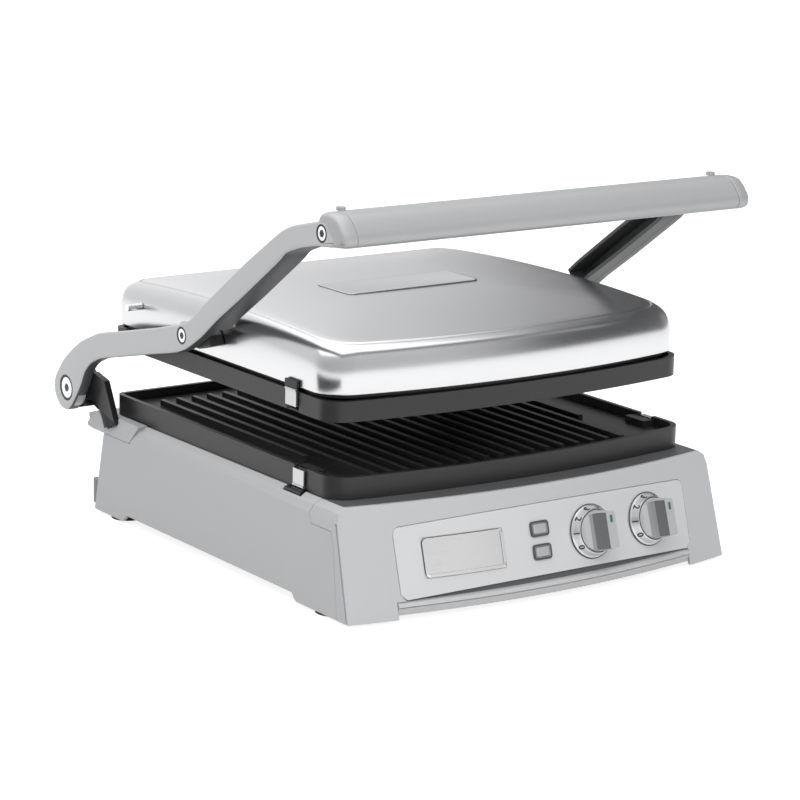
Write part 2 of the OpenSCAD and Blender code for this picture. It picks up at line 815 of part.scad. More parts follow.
module key_cap(i) {
    on_face(key_x, ctrl_z + 0.4 + i * key_pitch / 2)
        translate([-key_w / 2, -key_h / 2, -5]) cube([key_w, key_h, 7.6]);
}

module sear_button_upper() {
    color([0.8, 0.81, 0.82]) place() key_cap(1);
}

module sear_button_lower() {
    color([0.8, 0.81, 0.82]) place() key_cap(-1);
}

module control_board() {
    color([0.1, 0.3, 0.16]) place() on_face(key_x, ctrl_z) union() {
        translate([-26, -24, -13]) cube([48, 48, 1.6]);
        for (i = [-1, 1]) translate([-3.5, 0.4 + i * key_pitch / 2 - 3.5, -11.6])
            cube([7, 7, 11.6 - 5 - key_travel - 0.4]);
        for (i = [-1, 1], j = [-1, 1]) translate([i * 21 - 2 - (i > 0 ? 4 : 0), j * 17, -11.6])
            cylinder(h = 11.6 - wall - 0.1, r = 2.2);
    }
}

module thermostats() {
    color([0.82, 0.8, 0.74]) place()
        for (i = [0, 1]) on_face(knob_x1 + i * knob_pitch, ctrl_z) difference() {
            union() {
                translate([-15, -15, -22]) cube([30, 30, 16]);
                translate([0, 0, -7]) cylinder(h = 7 - wall - 0.1, r = 9);
            }
            translate([0, 0, -14.4]) cylinder(h = 15, r = stem_r + run);
        }
}

module terminal_block() {
    color([0.88, 0.87, 0.82]) place() difference() {
        translate([gland_x - 14, rear_y - tray_d - 30, edge_z + wall]) cube([40, 18, 16]);
        for (i = [-1, 0, 1]) translate([gland_x + 6 + i * 12, rear_y - tray_d - 34, edge_z + wall + 9])
            rotate([-90, 0, 0]) cylinder(h = 26, r = 2.2);
    }
}

// ---- drip tray ----

module drip_tray() {
    color([0.25, 0.26, 0.27]) place() union() {
        difference() {
            translate([-tray_w, rear_y + 1 - tray_d, tray_z]) cube([2 * tray_w, tray_d, tray_h]);
            translate([-tray_w + 2, rear_y + 3 - tray_d, tray_z + 1.8])
                cube([2 * tray_w - 4, tray_d - 4.4, tray_h]);
        }
        intersection() {
            along_x(-bar_w, bar_w) polygon([
                [rear_y + 0.8, 1.5],
                [rear_y + bar_t - 4, 1.5],
                [rear_y + bar_t - 0.6, 4.4],
                [rear_y + bar_t, 9],
                [rear_y + bar_t, 17.4],
                [rear_y + bar_t - 2.4, 20.6],
                [rear_y + bar_t - 6, 22],
                [rear_y + 0.8, 22]]);
            linear_extrude(40) hull() for (i = [-1, 1])
                translate([i * (bar_w - 14), rear_y + bar_t - 14]) {
                    circle(14);
                    translate([i > 0 ? 0 : -14, -40]) square([14, 40]);
                }
        }
    }
}

// ---- plate clips ----

module low_hook() {
    translate([-plate_w - 2.2, -clip_y - clip_w / 2, base_h + 2.4]) union() {
        translate([0.7, 0, 0.4]) rotate([-90, 0, 0]) cylinder(h = clip_w, r = 1.4);
        translate([0, 0, 0.4]) cube([1.4, clip_w, 12.6]);
        translate([0, 0, 12]) cube([5.4, clip_w, 1.4]);
    }
}

module low_thumb() {
    translate([-inner_w - 4, -clip_y - clip_w / 2, base_h - 5.4]) union() {
        cube([4.6, clip_w + 8, 5]);
        translate([1.4, 0, 4.9]) cube([2.6, clip_w, 1.6]);
    }
}

module up_hook() {
    translate([-plate_w - 2.2, -clip_y + 12 - clip_w / 2, up_z + 4.4]) union() {
        cube([1.4, clip_w, lid_z - up_z - 6.6]);
        translate([0.7, 0, lid_z - up_z - 6.6]) rotate([-90, 0, 0]) cylinder(h = clip_w, r = 1.4);
        cube([5.4, clip_w, 1.4]);
    }
}

module up_thumb() {
    translate([-lid_w - 2.6, -clip_y + 12 - clip_w / 2 - 1, lid_z - 0.5]) union() {
        cube([2.2, clip_w + 2, 5.6]);
        translate([2.1, 1, 0.4]) cube([7, clip_w, 2.2]);
    }
}

module clip_low_left_hook() {
    color([0.88, 0.89, 0.9]) place() low_hook();
}

module clip_low_left_thumb() {
    color([0.08, 0.08, 0.09]) place() low_thumb();
}

module clip_low_right_hook() {
    color([0.88, 0.89, 0.9]) place() other_side() low_hook();
}

module clip_low_right_thumb() {
    color([0.08, 0.08, 0.09]) place() other_side() low_thumb();
}

module clip_up_left_hook() {
    color([0.88, 0.89, 0.9]) place() up_hook();
}

module clip_up_left_thumb() {
    color([0.08, 0.08, 0.09]) place() up_thumb();
}

module clip_up_right_hook() {
    color([0.88, 0.89, 0.9]) place() other_side() up_hook();
}

module clip_up_right_thumb() {
    color([0.08, 0.08, 0.09]) place() other_side() up_thumb();
}

// ---- lid ----

function arc(cx, cy, r, a0, a1, i0, i1, n) =
    [for (i = [i0 : i1]) let (a = a0 + (a1 - a0) * i / n) [cx + r * cos(a), cy + r * sin(a)]];

// the lid's plan as points, shrunk by d
function lid_ring(d) =
    let (
        w = lid_w - d,
        f = lid_front - d,
        b = lid_bow * (1 - d / lid_w),
        r = lid_r - d * 0.12,
        rr = 16 - d * 0.05,
        yr = lid_rear - d,
        big = (w * w + b * b) / (2 * b),
        cy = big - f - b,
        yc = cy - sqrt((big - r) * (big - r) - (w - r) * (w - r)),
        t = asin((w - r) / (big - r)))
    concat(
        arc(0, cy, big, -90 - t, -90 + t, 0, 14, 14),
        arc(w - r, yc, r, -90 + t, 0, 1, 7, 7),
        [for (i = [1 : 6]) [w, yc + (yr - rr - yc) * i / 7]],
        arc(w - rr, yr - rr, rr, 0, 90, 0, 6, 6),
        arc(-w + rr, yr - rr, rr, 90, 180, 0, 6, 6),
        [for (i = [6 : -1 : 1]) [-w, yc + (yr - rr - yc) * i / 7]],
        arc(-w + r, yc, r, 180, 270 - t, 0, 6, 7));

// height of the top's crease at a place between front and rear
function crease_z(y) =
    let (k = (y - 20) / 150)
    lid_z + skirt_h + bevel_h + crown_h * max(0, 1 - k * k);

function lid_level(k, y) =
    k == 0 ? lid_z :
    k == 1 ? lid_z + skirt_h - 1.6 :
    k == 2 ? lid_z + skirt_h + 0.3 :
    k == 3 ? crease_z(y) - 0.9 :
    k == 4 ? crease_z(y) :
    k == 5 ? crease_z(y) + dome_h * 0.6 :
    crease_z(y) + dome_h * 0.95;

lid_steps = [0, 0, 1.1, bevel_w - 1.4, bevel_w + 1.2, bevel_w + 44, bevel_w + 92];

function lid_points(t) =
    [for (k = [0 : 6]) for (q = lid_ring(lid_steps[k] + t))
        [q[0], q[1], lid_level(k, q[1]) - (k == 0 ? 0 : t)]];

module lid_shell() {
    m = len(lid_ring(0));
    n = 7 * m;
    outer = lid_points(0);
    inner = lid_points(sheet);
    top = crease_z(20) + dome_h;
    color([0.78, 0.79, 0.8]) place() difference() {
        polyhedron(
            concat(outer, inner, [[0, 30, top], [0, 30, top - sheet]]),
            concat(
                [for (k = [0 : 5]) for (i = [0 : m - 1])
                    [k * m + i, (k + 1) * m + i, k * m + (i + 1) % m]],
                [for (k = [0 : 5]) for (i = [0 : m - 1])
                    [k * m + (i + 1) % m, (k + 1) * m + i, (k + 1) * m + (i + 1) % m]],
                [for (k = [0 : 5]) for (i = [0 : m - 1])
                    [n + k * m + i, n + k * m + (i + 1) % m, n + (k + 1) * m + i]],
                [for (k = [0 : 5]) for (i = [0 : m - 1])
                    [n + k * m + (i + 1) % m, n + (k + 1) * m + (i + 1) % m, n + (k + 1) * m + i]],
                [for (i = [0 : m - 1]) [6 * m + i, 2 * n, 6 * m + (i + 1) % m]],
                [for (i = [0 : m - 1]) [n + 6 * m + i, n + 6 * m + (i + 1) % m, 2 * n + 1]],
                [for (i = [0 : m - 1]) [i, (i + 1) % m, n + i]],
                [for (i = [0 : m - 1]) [(i + 1) % m, n + (i + 1) % m, n + i]]));
        for (s = [-1, 1]) translate([s * lid_w - 5, -clip_y + 12 - clip_w / 2 - 1.4, lid_z - 1])
            cube([10, clip_w + 2.8, 6.6]);
    }
}

module lid_frame() {
    color([0.09, 0.09, 0.1]) place() difference() {
        union() {
            translate([0, 0, up_top + 0.3]) linear_extrude(2.4) lid_plan(4);
            translate([0, 0, up_top + 2.6]) linear_extrude(4.4) lid_plan(sheet + 0.5);
        }
        translate([0, 0, up_top]) linear_extrude(1.5)
            plan(plate_w - 17.6, up_front - 22, plate_bow, 14, up_rear - 19, 8);
        translate([0, 0, up_top + 4.6]) linear_extrude(4.4) lid_plan(6);
        // slots for the clips
        for (s = [-1, 1]) translate([s * (lid_w - 2.5) - 8, -clip_y + 12 - clip_w / 2 - 1.4, lid_z - 3.4])
            cube([16, clip_w + 2.8, 9.2]);
        for (s = [-1, 1]) translate([s * lid_w - 9, pivot_y - 12, up_top + 4]) cube([18, 24, 6]);
    }
}

module pivot_boss() {
    difference() {
        union() {
            along_x(-arm_x + arm_d + 0.4, -lid_w - 0.2) polygon([
                [pivot_y + 8, pivot_z - 9.6],
                [pivot_y + 12.6, pivot_z - 2],
                [pivot_y + 10.6, pivot_z + 7],
                [pivot_y + 2, pivot_z + 11.6],
                [pivot_y - 14, pivot_z + 9],
                [pivot_y - 24, pivot_z + 3],
                [pivot_y - 27, pivot_z - 5],
                [pivot_y - 8, pivot_z - 10.6]]);
        }
        bar_x(-arm_x, -lid_w + 5, pivot_y, pivot_z, pivot_r + run);
    }
}

module pivot_boss_left() {
    color([0.12, 0.12, 0.13]) place() pivot_boss();
}

module pivot_boss_right() {
    color([0.12, 0.12, 0.13]) place() other_side() pivot_boss();
}

module stop_pins() {
    color([0.85, 0.86, 0.87]) place() for (s = [0, 1]) mirror([s, 0, 0])
        bar_x(-arm_x + arm_d + 0.5, -lid_w - 0.2, lid_rear - 45, lid_z + 21, 3);
}

module lid_hooks() {
    color([0.6, 0.61, 0.62]) place() for (s = [-1, 1]) union() {
        translate([s * (lid_w - 22.4) - 7, lid_rear + 0.2, lid_z - 3]) cube([14, 1.4, 14]);
        translate([s * (lid_w - 22.4) - 7, lid_rear - 2.4, lid_z - 3]) cube([14, 2.8, 1.4]);
    }
}

// ---- arms ----

screw_y = pivot_y - reach_y;
screw_z = pivot_z + reach_z;

// places near the hinge, the lid pivot and the grip
// an outline with one more point on a smooth curve between each two
function unit(a) = a / norm(a);
function run_at(p, i) = let (n = len(p), a = p[i % n])
    unit(unit(a - p[(i + n - 1) % n]) + unit(p[(i + 1) % n] - a));
function smooth(p) = [for (i = [0 : len(p) - 1]) let (a = p[i], b = p[(i + 1) % len(p)])
    each [a, (a + b) / 2 + min(norm(b - a), 12) / 8 * (run_at(p, i) - run_at(p, i + 1))]];

function h(y, z) = [hinge_y + y, hinge_z + z];
function v(y, z) = [pivot_y + y, pivot_z + z];
function g(y, z) = [screw_y + y, screw_z + z];

arm_edge = [
    h(-2.9, -18.4), h(7.6, -19.6), h(15.6, -15.4), h(20.9, -8.4), h(22.3, -1.4), h(20.6, 6.1),
    h(16.3, 12.1), h(7.3, 22.6), h(-6.8, 34), h(-24.2, 45), h(-41.4, 52.5), h(-55, 57.6),
    h(-78.5, 62.8), v(49.3, -3.4), v(2.3, 8.9), v(-12.9, 15.7), v(-33.9, 32.3), g(104.6, -38.4),
    g(56, -6.9), g(42.4, -1), g(28.9, 2.6), g(-4.3, 9.2), g(-11.1, 2.9), g(-16.5, -2.2),
    g(-16.6, -6.6), g(5.2, -10.6), g(28.4, -15.7), g(48.7, -23.1), g(55.5, -28.8), g(111.2, -68.4),
    v(-50.5, 20.2), v(-28.3, 3.3), v(-5.5, -10.3), v(9.9, -16.1), v(65.2, -28.8), h(-58.3, 36.1),
    h(-41.3, 28.6), h(-31, 19.6), h(-24, 7), h(-15.2, -5.2)];

function part_way(a, b, t) = a + (b - a) * t;

// the deeper upper length of an arm, from above the pivot to behind the grip
arm_deep = [
    part_way(arm_edge[15], arm_edge[16], 0.5), arm_edge[16], arm_edge[17], arm_edge[18],
    arm_edge[19], arm_edge[20], part_way(arm_edge[20], arm_edge[21], 0.5),
    part_way(arm_edge[25], arm_edge[26], 0.36), arm_edge[26], arm_edge[27], arm_edge[28],
    arm_edge[29], arm_edge[30], part_way(arm_edge[30], arm_edge[31], 0.72)];

module arm() {
    difference() {
        union() {
            difference() {
                along_x(-arm_x, -arm_x + arm_d) polygon(arm_edge);
                along_x(-arm_x + arm_t, -arm_x + arm_d + 1) polygon(inset(arm_edge, arm_t));
            }
            difference() {
                along_x(-arm_x + arm_d - 2, -arm_x + arm_w) polygon(arm_deep);
                along_x(-arm_x + arm_d - 3, -arm_x + arm_w + 1) polygon(inset(arm_deep, arm_t - 1));
            }
            intersection() {
                along_x(-arm_x, -arm_x + arm_d) polygon(arm_edge);
                union() {
                    bar_x(-arm_x + 1, -arm_x + arm_d, hinge_y, hinge_z, 16.5);
                    bar_x(-arm_x + 1, -arm_x + arm_d, pivot_y, pivot_z, 11);
                    bar_x(-arm_x + 1, -arm_x + arm_d, screw_y, screw_z, 8.6);
                }
            }
        }
        bar_x(-arm_x - 1, -arm_x + arm_d + 1, hinge_y, hinge_z, hinge_r + run);
        bar_x(-arm_x - 1, -arm_x + 4.2, hinge_y, hinge_z, hinge_head + 1.4);
        bar_x(-arm_x - 1, -arm_x + arm_d + 1, pivot_y, pivot_z, pivot_r + run);
        bar_x(-arm_x - 1, -arm_x + 2.6, pivot_y, pivot_z, 7.2);
        bar_x(-arm_x - 1, -arm_x + arm_d + 1, screw_y, screw_z, 3.4);
        bar_x(-arm_x - 1, -arm_x + 2.6, screw_y, screw_z, 7);
    }
}

module arm_left() {
    color([0.74, 0.75, 0.76]) place() arm();
}

module arm_right() {
    color([0.74, 0.75, 0.76]) place() other_side() arm();
}

grip_edge = smooth([
    g(8.6, 8.8), g(6.2, 13.4), g(1.2, 15.5), g(-13.6, 15.5), g(-18.6, 12.8), g(-22.9, 8.8),
    g(-26.3, 4.8), g(-28.3, 1.6), g(-28.8, -2.8), g(-27.2, -6.7), g(-19.8, -8.8), g(-2.8, -9.4),
    g(5.2, -7.2), g(8.6, -2.2)]);

module grip_bar() {
    color([0.74, 0.75, 0.76]) place() difference() {
        along_x(-grip_w, grip_w) polygon(grip_edge);
        along_x(-grip_w - 1, grip_w + 1) polygon(inset(grip_edge, 2.6));
    }
}

// room for the arm's end inside the grip's end piece
arm_end_clear = [
    g(55.2, 45.8), g(27.2, 45.8), g(-4.6, 10.3), g(-11.8, 3.9), g(-17.6, -1.4),
    g(-17.7, -16), g(55.2, -36)];

module grip_end() {
    difference() {
        union() {
            along_x(-arm_x + arm_d + 0.3, -grip_w - 0.2) polygon(grip_edge);
            difference() {
                along_x(-arm_x + 2.6, -arm_x + arm_d + 0.4) polygon(grip_edge);
                along_x(-arm_x - 1, -arm_x + arm_d + 0.3) polygon(arm_end_clear);
            }
        }
        bar_x(-arm_x, -grip_w + 1, screw_y, screw_z, 3.1);
    }
}

module grip_end_left() {
    color([0.78, 0.79, 0.8]) place() grip_end();
}

module grip_end_right() {
    color([0.78, 0.79, 0.8]) place() other_side() grip_end();
}

module grip_bumpers() {
    color([0.7, 0.71, 0.72]) place() for (s = [-1, 1]) translate([s * (grip_w - 5), screw_y + 2.2, screw_z + 15.7])
        cylinder(h = 2.4, r = 3.6);
}

module socket_head(x, y, z, r, t, hex) {
    translate([x, y, z]) rotate([0, 90, 0]) difference() {
        cylinder(h = t, r = r);
        translate([0, 0, -1]) cylinder(h = 1 + t * 0.6, r = hex, $fn = 6);
    }
}

module hinge_pins() {
    color([0.86, 0.87, 0.88]) place() for (s = [0, 1]) mirror([s, 0, 0]) union() {
        socket_head(-arm_x + 0.4, hinge_y, hinge_z, hinge_head, 3.4, 3.6);
        bar_x(-arm_x + 3.6, -tower_in - 0.4, hinge_y, hinge_z, hinge_r);
    }
}

module pivot_screws() {
    color([0.86, 0.87, 0.88]) place() for (s = [0, 1]) mirror([s, 0, 0]) union() {
        socket_head(-arm_x + 0.2, pivot_y, pivot_z, 6.6, 2.1, 2.8);
        bar_x(-arm_x + 2.2, -lid_w - 0.6, pivot_y, pivot_z, pivot_r);
    }
}

module grip_screws() {
    color([0.86, 0.87, 0.88]) place() for (s = [0, 1]) mirror([s, 0, 0]) union() {
        socket_head(-arm_x + 0.2, screw_y, screw_z, 6.4, 2.1, 2.8);
        bar_x(-arm_x + 2.2, -grip_w - 0.5, screw_y, screw_z, 3);
    }
}

// every sub-part by name
// which sub-part to draw

side_panel_left();
side_panel_right();
front_bezel();
front_lip();
control_panel();
badge_plate();
button_bezels();
dial_ring_lower();
dial_ring_upper();
base_deck();
bottom_cover();
rear_panel();
cord_gland();
hinge_cover_left();
hinge_cover_right();
hinge_tower_left();
hinge_tower_right();
rubber_feet();
lower_plate();
lower_element();
lower_reflector();
control_board();
thermostats();
terminal_block();
knob_lower();
knob_mark_lower();
knob_upper();
knob_mark_upper();
sear_button_upper();
sear_button_lower();
drip_tray();
clip_low_left_hook();
clip_low_left_thumb();
clip_low_right_hook();
clip_low_right_thumb();
clip_up_left_hook();
clip_up_left_thumb();
clip_up_right_hook();
clip_up_right_thumb();
hinge_pins();
arm_left();
arm_right();
grip_bar();
grip_end_left();
grip_end_right();
grip_bumpers();
grip_screws();
pivot_screws();
lid_shell();
lid_frame();
upper_plate();
upper_reflector();
upper_element();
pivot_boss_left();
pivot_boss_right();
stop_pins();
lid_hooks();
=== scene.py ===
import bpy, bmesh
from math import sin, cos, asin, atan, sqrt, pi, radians
from mathutils import Matrix, Vector


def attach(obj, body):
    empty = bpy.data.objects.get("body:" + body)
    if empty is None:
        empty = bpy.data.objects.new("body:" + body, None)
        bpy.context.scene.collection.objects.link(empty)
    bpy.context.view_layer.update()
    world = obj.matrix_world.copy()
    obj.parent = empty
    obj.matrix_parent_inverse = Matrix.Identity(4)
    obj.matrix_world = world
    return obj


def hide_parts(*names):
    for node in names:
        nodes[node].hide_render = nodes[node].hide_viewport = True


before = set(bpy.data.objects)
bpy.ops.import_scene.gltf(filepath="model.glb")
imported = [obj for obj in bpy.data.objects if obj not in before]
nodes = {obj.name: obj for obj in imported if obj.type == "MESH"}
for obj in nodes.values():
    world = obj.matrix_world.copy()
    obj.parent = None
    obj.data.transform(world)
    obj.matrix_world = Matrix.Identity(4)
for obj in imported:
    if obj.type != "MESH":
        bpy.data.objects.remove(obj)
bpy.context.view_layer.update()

# ---- camera ----
# The photograph's viewpoint: to the left of the front, a little above, with a long lens and the
# camera rolled by about a degree.
az, el, roll = radians(-35.16), radians(13.26), radians(1.23)
distance, moved_right, moved_up = 2.43947, -0.01578, -0.00573
middle = Vector((0, -0.0155, 0.1238))
back = Vector((sin(az) * cos(el), -cos(az) * cos(el), sin(el)))
right = Vector((cos(az), sin(az), 0))
up = back.cross(right)
cam = bpy.data.objects.new("camera", bpy.data.cameras.new("camera"))
bpy.context.scene.collection.objects.link(cam)
rolled_right = right * cos(roll) + up * sin(roll)
rolled_up = up * cos(roll) - right * sin(roll)
stand = middle + back * distance + right * moved_right + up * moved_up
cam.matrix_world = Matrix.Translation(stand) @ Matrix(
    (rolled_right, rolled_up, back)).transposed().to_4x4()
cam.data.sensor_width = 36
cam.data.lens = 133.3
cam.data.shift_x = 0.0077
cam.data.shift_y = -0.0005
cam.data.clip_end = 30
bpy.context.scene.camera = cam

# ---- floor and light ----
# A white seamless floor, pale studio walls that fall off to a dark one on the right, three large
# soft lamps, and a black cloth on the floor that gives the bright steel its dark corner.
bpy.context.scene.view_settings.view_transform = "Standard"
world = bpy.data.worlds.new("studio")
bpy.context.scene.world = world
world.use_nodes = True
wn, wl = world.node_tree.nodes, world.node_tree.links
wn.clear()
coord = wn.new("ShaderNodeTexCoord")
split = wn.new("ShaderNodeSeparateXYZ")
across = wn.new("ShaderNodeMath")
across.operation = "MULTIPLY_ADD"
across.inputs[1].default_value = 0.5
across.inputs[2].default_value = 0.5
walls = wn.new("ShaderNodeValToRGB")
walls.color_ramp.interpolation = "EASE"
walls.color_ramp.elements[0].color = (0.62, 0.62, 0.63, 1)
walls.color_ramp.elements[1].color = (0.42, 0.42, 0.43, 1)
for place, grey in ((0.12, 0.78), (0.40, 0.90), (0.73, 1.02), (0.78, 0.72), (0.825, 0.10),
                    (0.90, 0.14)):
    stop = walls.color_ramp.elements.new(place)
    stop.color = (grey, grey, grey * 1.01, 1)
sky = wn.new("ShaderNodeBackground")
lift = wn.new("ShaderNodeMath")
lift.operation = "MULTIPLY_ADD"
lift.inputs[1].default_value = 0.20
lift.inputs[2].default_value = 0.82
out = wn.new("ShaderNodeOutputWorld")
wl.new(coord.outputs["Generated"], split.inputs[0])
wl.new(split.outputs["X"], across.inputs[0])
wl.new(across.outputs[0], walls.inputs[0])
wl.new(walls.outputs[0], sky.inputs["Color"])
wl.new(split.outputs["Y"], lift.inputs[0])
wl.new(lift.outputs[0], sky.inputs["Strength"])
wl.new(sky.outputs[0], out.inputs[0])

bm = bmesh.new()
bmesh.ops.create_circle(bm, cap_ends=True, radius=14, segments=96)
me = bpy.data.meshes.new("floor")
bm.to_mesh(me)
bm.free()
floor = bpy.data.objects.new("floor", me)
bpy.context.scene.collection.objects.link(floor)
m = bpy.data.materials.new("floor")
m.use_nodes = True
me.materials.append(m)
n, l = m.node_tree.nodes, m.node_tree.links
n.clear()
path = n.new("ShaderNodeLightPath")
matt = n.new("ShaderNodeBsdfDiffuse")
matt.inputs["Color"].default_value = (0.45, 0.45, 0.45, 1)
glow = n.new("ShaderNodeEmission")
glow.inputs["Strength"].default_value = 0.86
lit = n.new("ShaderNodeAddShader")
shown = n.new("ShaderNodeMath")
shown.operation = "MULTIPLY_ADD"
shown.inputs[1].default_value = 0.84
shown.use_clamp = True
pick = n.new("ShaderNodeMixShader")
end = n.new("ShaderNodeOutputMaterial")
l.new(matt.outputs[0], lit.inputs[0])
l.new(glow.outputs[0], lit.inputs[1])
l.new(path.outputs["Is Glossy Ray"], shown.inputs[0])
l.new(path.outputs["Is Camera Ray"], shown.inputs[2])
l.new(shown.outputs[0], pick.inputs[0])
l.new(matt.outputs[0], pick.inputs[1])
l.new(lit.outputs[0], pick.inputs[2])
l.new(pick.outputs[0], end.inputs[0])

# the cloth lies to the left and shows in reflections only
cloth_outline = ((-0.342, -0.393), (-0.412, 0.022), (-1.27, 0.54), (-1.11, -0.067),
                 (-0.89, -0.49), (-0.613, -0.765))
me = bpy.data.meshes.new("black_cloth")
me.from_pydata([(x, y, 0.002) for x, y in cloth_outline], [],
               [tuple(range(len(cloth_outline)))])
me.validate()
me.update()
cloth = bpy.data.objects.new("black_cloth", me)
bpy.context.scene.collection.objects.link(cloth)
cloth.visible_camera = cloth.visible_diffuse = cloth.visible_shadow = False
m = bpy.data.materials.new("black_cloth")
m.use_nodes = True
black_wool = m.node_tree.nodes["Principled BSDF"]
black_wool.inputs["Base Color"].default_value = (0, 0, 0, 1)
black_wool.inputs["Roughness"].default_value = 0.9
black_wool.inputs["Emission Color"].default_value = (1, 1, 1, 1)
black_wool.inputs["Emission Strength"].default_value = 0.01
me.materials.append(m)

for name, place, aim, size, watts in (
        ("key", (-1.5, -2.0, 2.2), (0, 0, 0.15), 2.2, 40),
        ("top", (-0.3, 0.5, 2.5), (0, 0, 0.2), 3.2, 34),
        ("front", (0.3, -2.5, 0.9), (0, 0, 0.12), 2.2, 18)):
    lamp = bpy.data.objects.new(name, bpy.data.lights.new(name, "AREA"))
    lamp.data.size = size
    lamp.data.energy = watts
    lamp.visible_glossy = name == "top"
    lamp.location = place
    lamp.rotation_euler = (Vector(aim) - Vector(place)).to_track_quat("-Z", "Y").to_euler()
    bpy.context.scene.collection.objects.link(lamp)

# ---- base casing ----
# Side panels, front bezel, rear panel, lower front lip and light hinge covers are moulded in one
# pale grey plastic with a fine satin grain, screwed together from below.

# one named input or output of a node group
def add_socket(g, name, kind, inout="INPUT", value=None):
    s = g.interface.new_socket(name, in_out=inout, socket_type="NodeSocket" + kind)
    if value is not None:
        s.default_value = value


# fine grain over wide, soft blotches; it varies a colour, a roughness and a normal, and the
# stretch pulls the grain out along one axis
def grain_group(name, stretch):
    g = bpy.data.node_groups.new(name, "ShaderNodeTree")
    add_socket(g, "Color", "Color")
    add_socket(g, "Shade", "Float", value=0.1)
    add_socket(g, "Scale", "Float", value=900.0)
    add_socket(g, "Depth", "Float", value=0.1)
    add_socket(g, "Rough", "Float", value=0.4)
    add_socket(g, "Spread", "Float", value=0.1)
    for s, k in (("Color", "Color"), ("Roughness", "Float"), ("Normal", "Vector")):
        add_socket(g, s, k, "OUTPUT")
    n, l = g.nodes, g.links
    i, o = n.new("NodeGroupInput"), n.new("NodeGroupOutput")
    tc, mp = n.new("ShaderNodeTexCoord"), n.new("ShaderNodeMapping")
    mp.inputs["Scale"].default_value = stretch
    fine, wide = n.new("ShaderNodeTexNoise"), n.new("ShaderNodeTexNoise")
    fine.inputs["Detail"].default_value = 3
    wide.inputs["Scale"].default_value = 14
    wide.inputs["Detail"].default_value = 4
    l.new(tc.outputs["Object"], mp.inputs["Vector"])
    l.new(mp.outputs[0], fine.inputs["Vector"])
    l.new(tc.outputs["Object"], wide.inputs["Vector"])
    l.new(i.outputs["Scale"], fine.inputs["Scale"])
    mean = n.new("ShaderNodeMath")
    mean.operation = "MULTIPLY_ADD"
    mean.inputs[1].default_value = 0.55
    l.new(fine.outputs["Fac"], mean.inputs[0])
    part = n.new("ShaderNodeMath")
    part.operation = "MULTIPLY"
    part.inputs[1].default_value = 0.45
    l.new(wide.outputs["Fac"], part.inputs[0])
    l.new(part.outputs[0], mean.inputs[2])
    lift = n.new("ShaderNodeMath")
    lift.operation = "SUBTRACT"
    lift.inputs[1].default_value = 0.5
    l.new(mean.outputs[0], lift.inputs[0])
    gain = n.new("ShaderNodeMath")
    gain.operation = "MULTIPLY_ADD"
    gain.inputs[2].default_value = 1.0
    l.new(lift.outputs[0], gain.inputs[0])
    l.new(i.outputs["Shade"], gain.inputs[1])
    tint = n.new("ShaderNodeVectorMath")
    tint.operation = "SCALE"
    l.new(i.outputs["Color"], tint.inputs[0])
    l.new(gain.outputs[0], tint.inputs["Scale"])
    l.new(tint.outputs[0], o.inputs["Color"])
    rough = n.new("ShaderNodeMath")
    rough.operation = "MULTIPLY_ADD"
    l.new(lift.outputs[0], rough.inputs[0])
    l.new(i.outputs["Spread"], rough.inputs[1])
    l.new(i.outputs["Rough"], rough.inputs[2])
    l.new(rough.outputs[0], o.inputs["Roughness"])
    bump = n.new("ShaderNodeBump")
    bump.inputs["Distance"].default_value = 0.0002
    l.new(i.outputs["Depth"], bump.inputs["Strength"])
    l.new(fine.outputs["Fac"], bump.inputs["Height"])
    l.new(bump.outputs[0], o.inputs["Normal"])
    return g


grain = grain_group("grain", (1, 1, 1))


# a material whose surface varies with one of the grain groups
def finish(name, group, color, rough, metal=0.0, shade=0.1, scale=900.0, depth=0.1, spread=0.1,
           specular=0.5):
    m = bpy.data.materials.new(name)
    m.use_nodes = True
    n, l = m.node_tree.nodes, m.node_tree.links
    b = n["Principled BSDF"]
    g = n.new("ShaderNodeGroup")
    g.node_tree = group
    g.inputs["Color"].default_value = (*color, 1)
    for s, v in (("Shade", shade), ("Scale", scale), ("Depth", depth), ("Rough", rough),
                 ("Spread", spread)):
        g.inputs[s].default_value = v
    l.new(g.outputs["Color"], b.inputs["Base Color"])
    l.new(g.outputs["Roughness"], b.inputs["Roughness"])
    l.new(g.outputs["Normal"], b.inputs["Normal"])
    b.inputs["Metallic"].default_value = metal
    b.inputs["Specular IOR Level"].default_value = specular
    return m


# gives pieces of the CAD model a material and softly broken edges
def dress(names, material, width=0.0005, angle=32, segments=2):
    for name in names:
        o = nodes[name]
        o.data.materials.clear()
        o.data.materials.append(material)
        for p in o.data.polygons:
            p.use_smooth = True
        w = o.modifiers.new("weld", "WELD")
        w.merge_threshold = 0.00001
        if width:
            b = o.modifiers.new("edges", "BEVEL")
            b.width = width
            b.segments = segments
            b.limit_method = "ANGLE"
            b.angle_limit = radians(angle)
            b.harden_normals = True
            b.use_clamp_overlap = True
            v = o.modifiers.new("shading", "WEIGHTED_NORMAL")
            v.keep_sharp = False
            v.weight = 100


casing = finish("casing_plastic", grain, (0.50, 0.51, 0.52), 0.42, shade=0.05, scale=1400,
                depth=0.12, specular=0.45)
dress(["side_panel_left", "side_panel_right", "front_bezel", "rear_panel"], casing, 0.0013)
dress(["hinge_cover_left", "hinge_cover_right", "front_lip"], casing, 0.0008)
# painted shade darkens the lip's recess over its top edge; painted light makes its skirt paler
lip_top, lip_fold = 0.0156, 0.0121
shaded = finish("lip_recess_painted_shade", grain, (0.10, 0.102, 0.104), 0.5, shade=0.05)
skirting = finish("lip_skirt_painted_light", grain, (0.55, 0.555, 0.56), 0.45, shade=0.05)
lip = nodes["front_lip"].data
lip.materials.append(shaded)
lip.materials.append(skirting)
for p in lip.polygons:
    if p.center.z > lip_top:
        p.material_index = 1
    elif p.center.z < lip_fold:
        p.material_index = 2

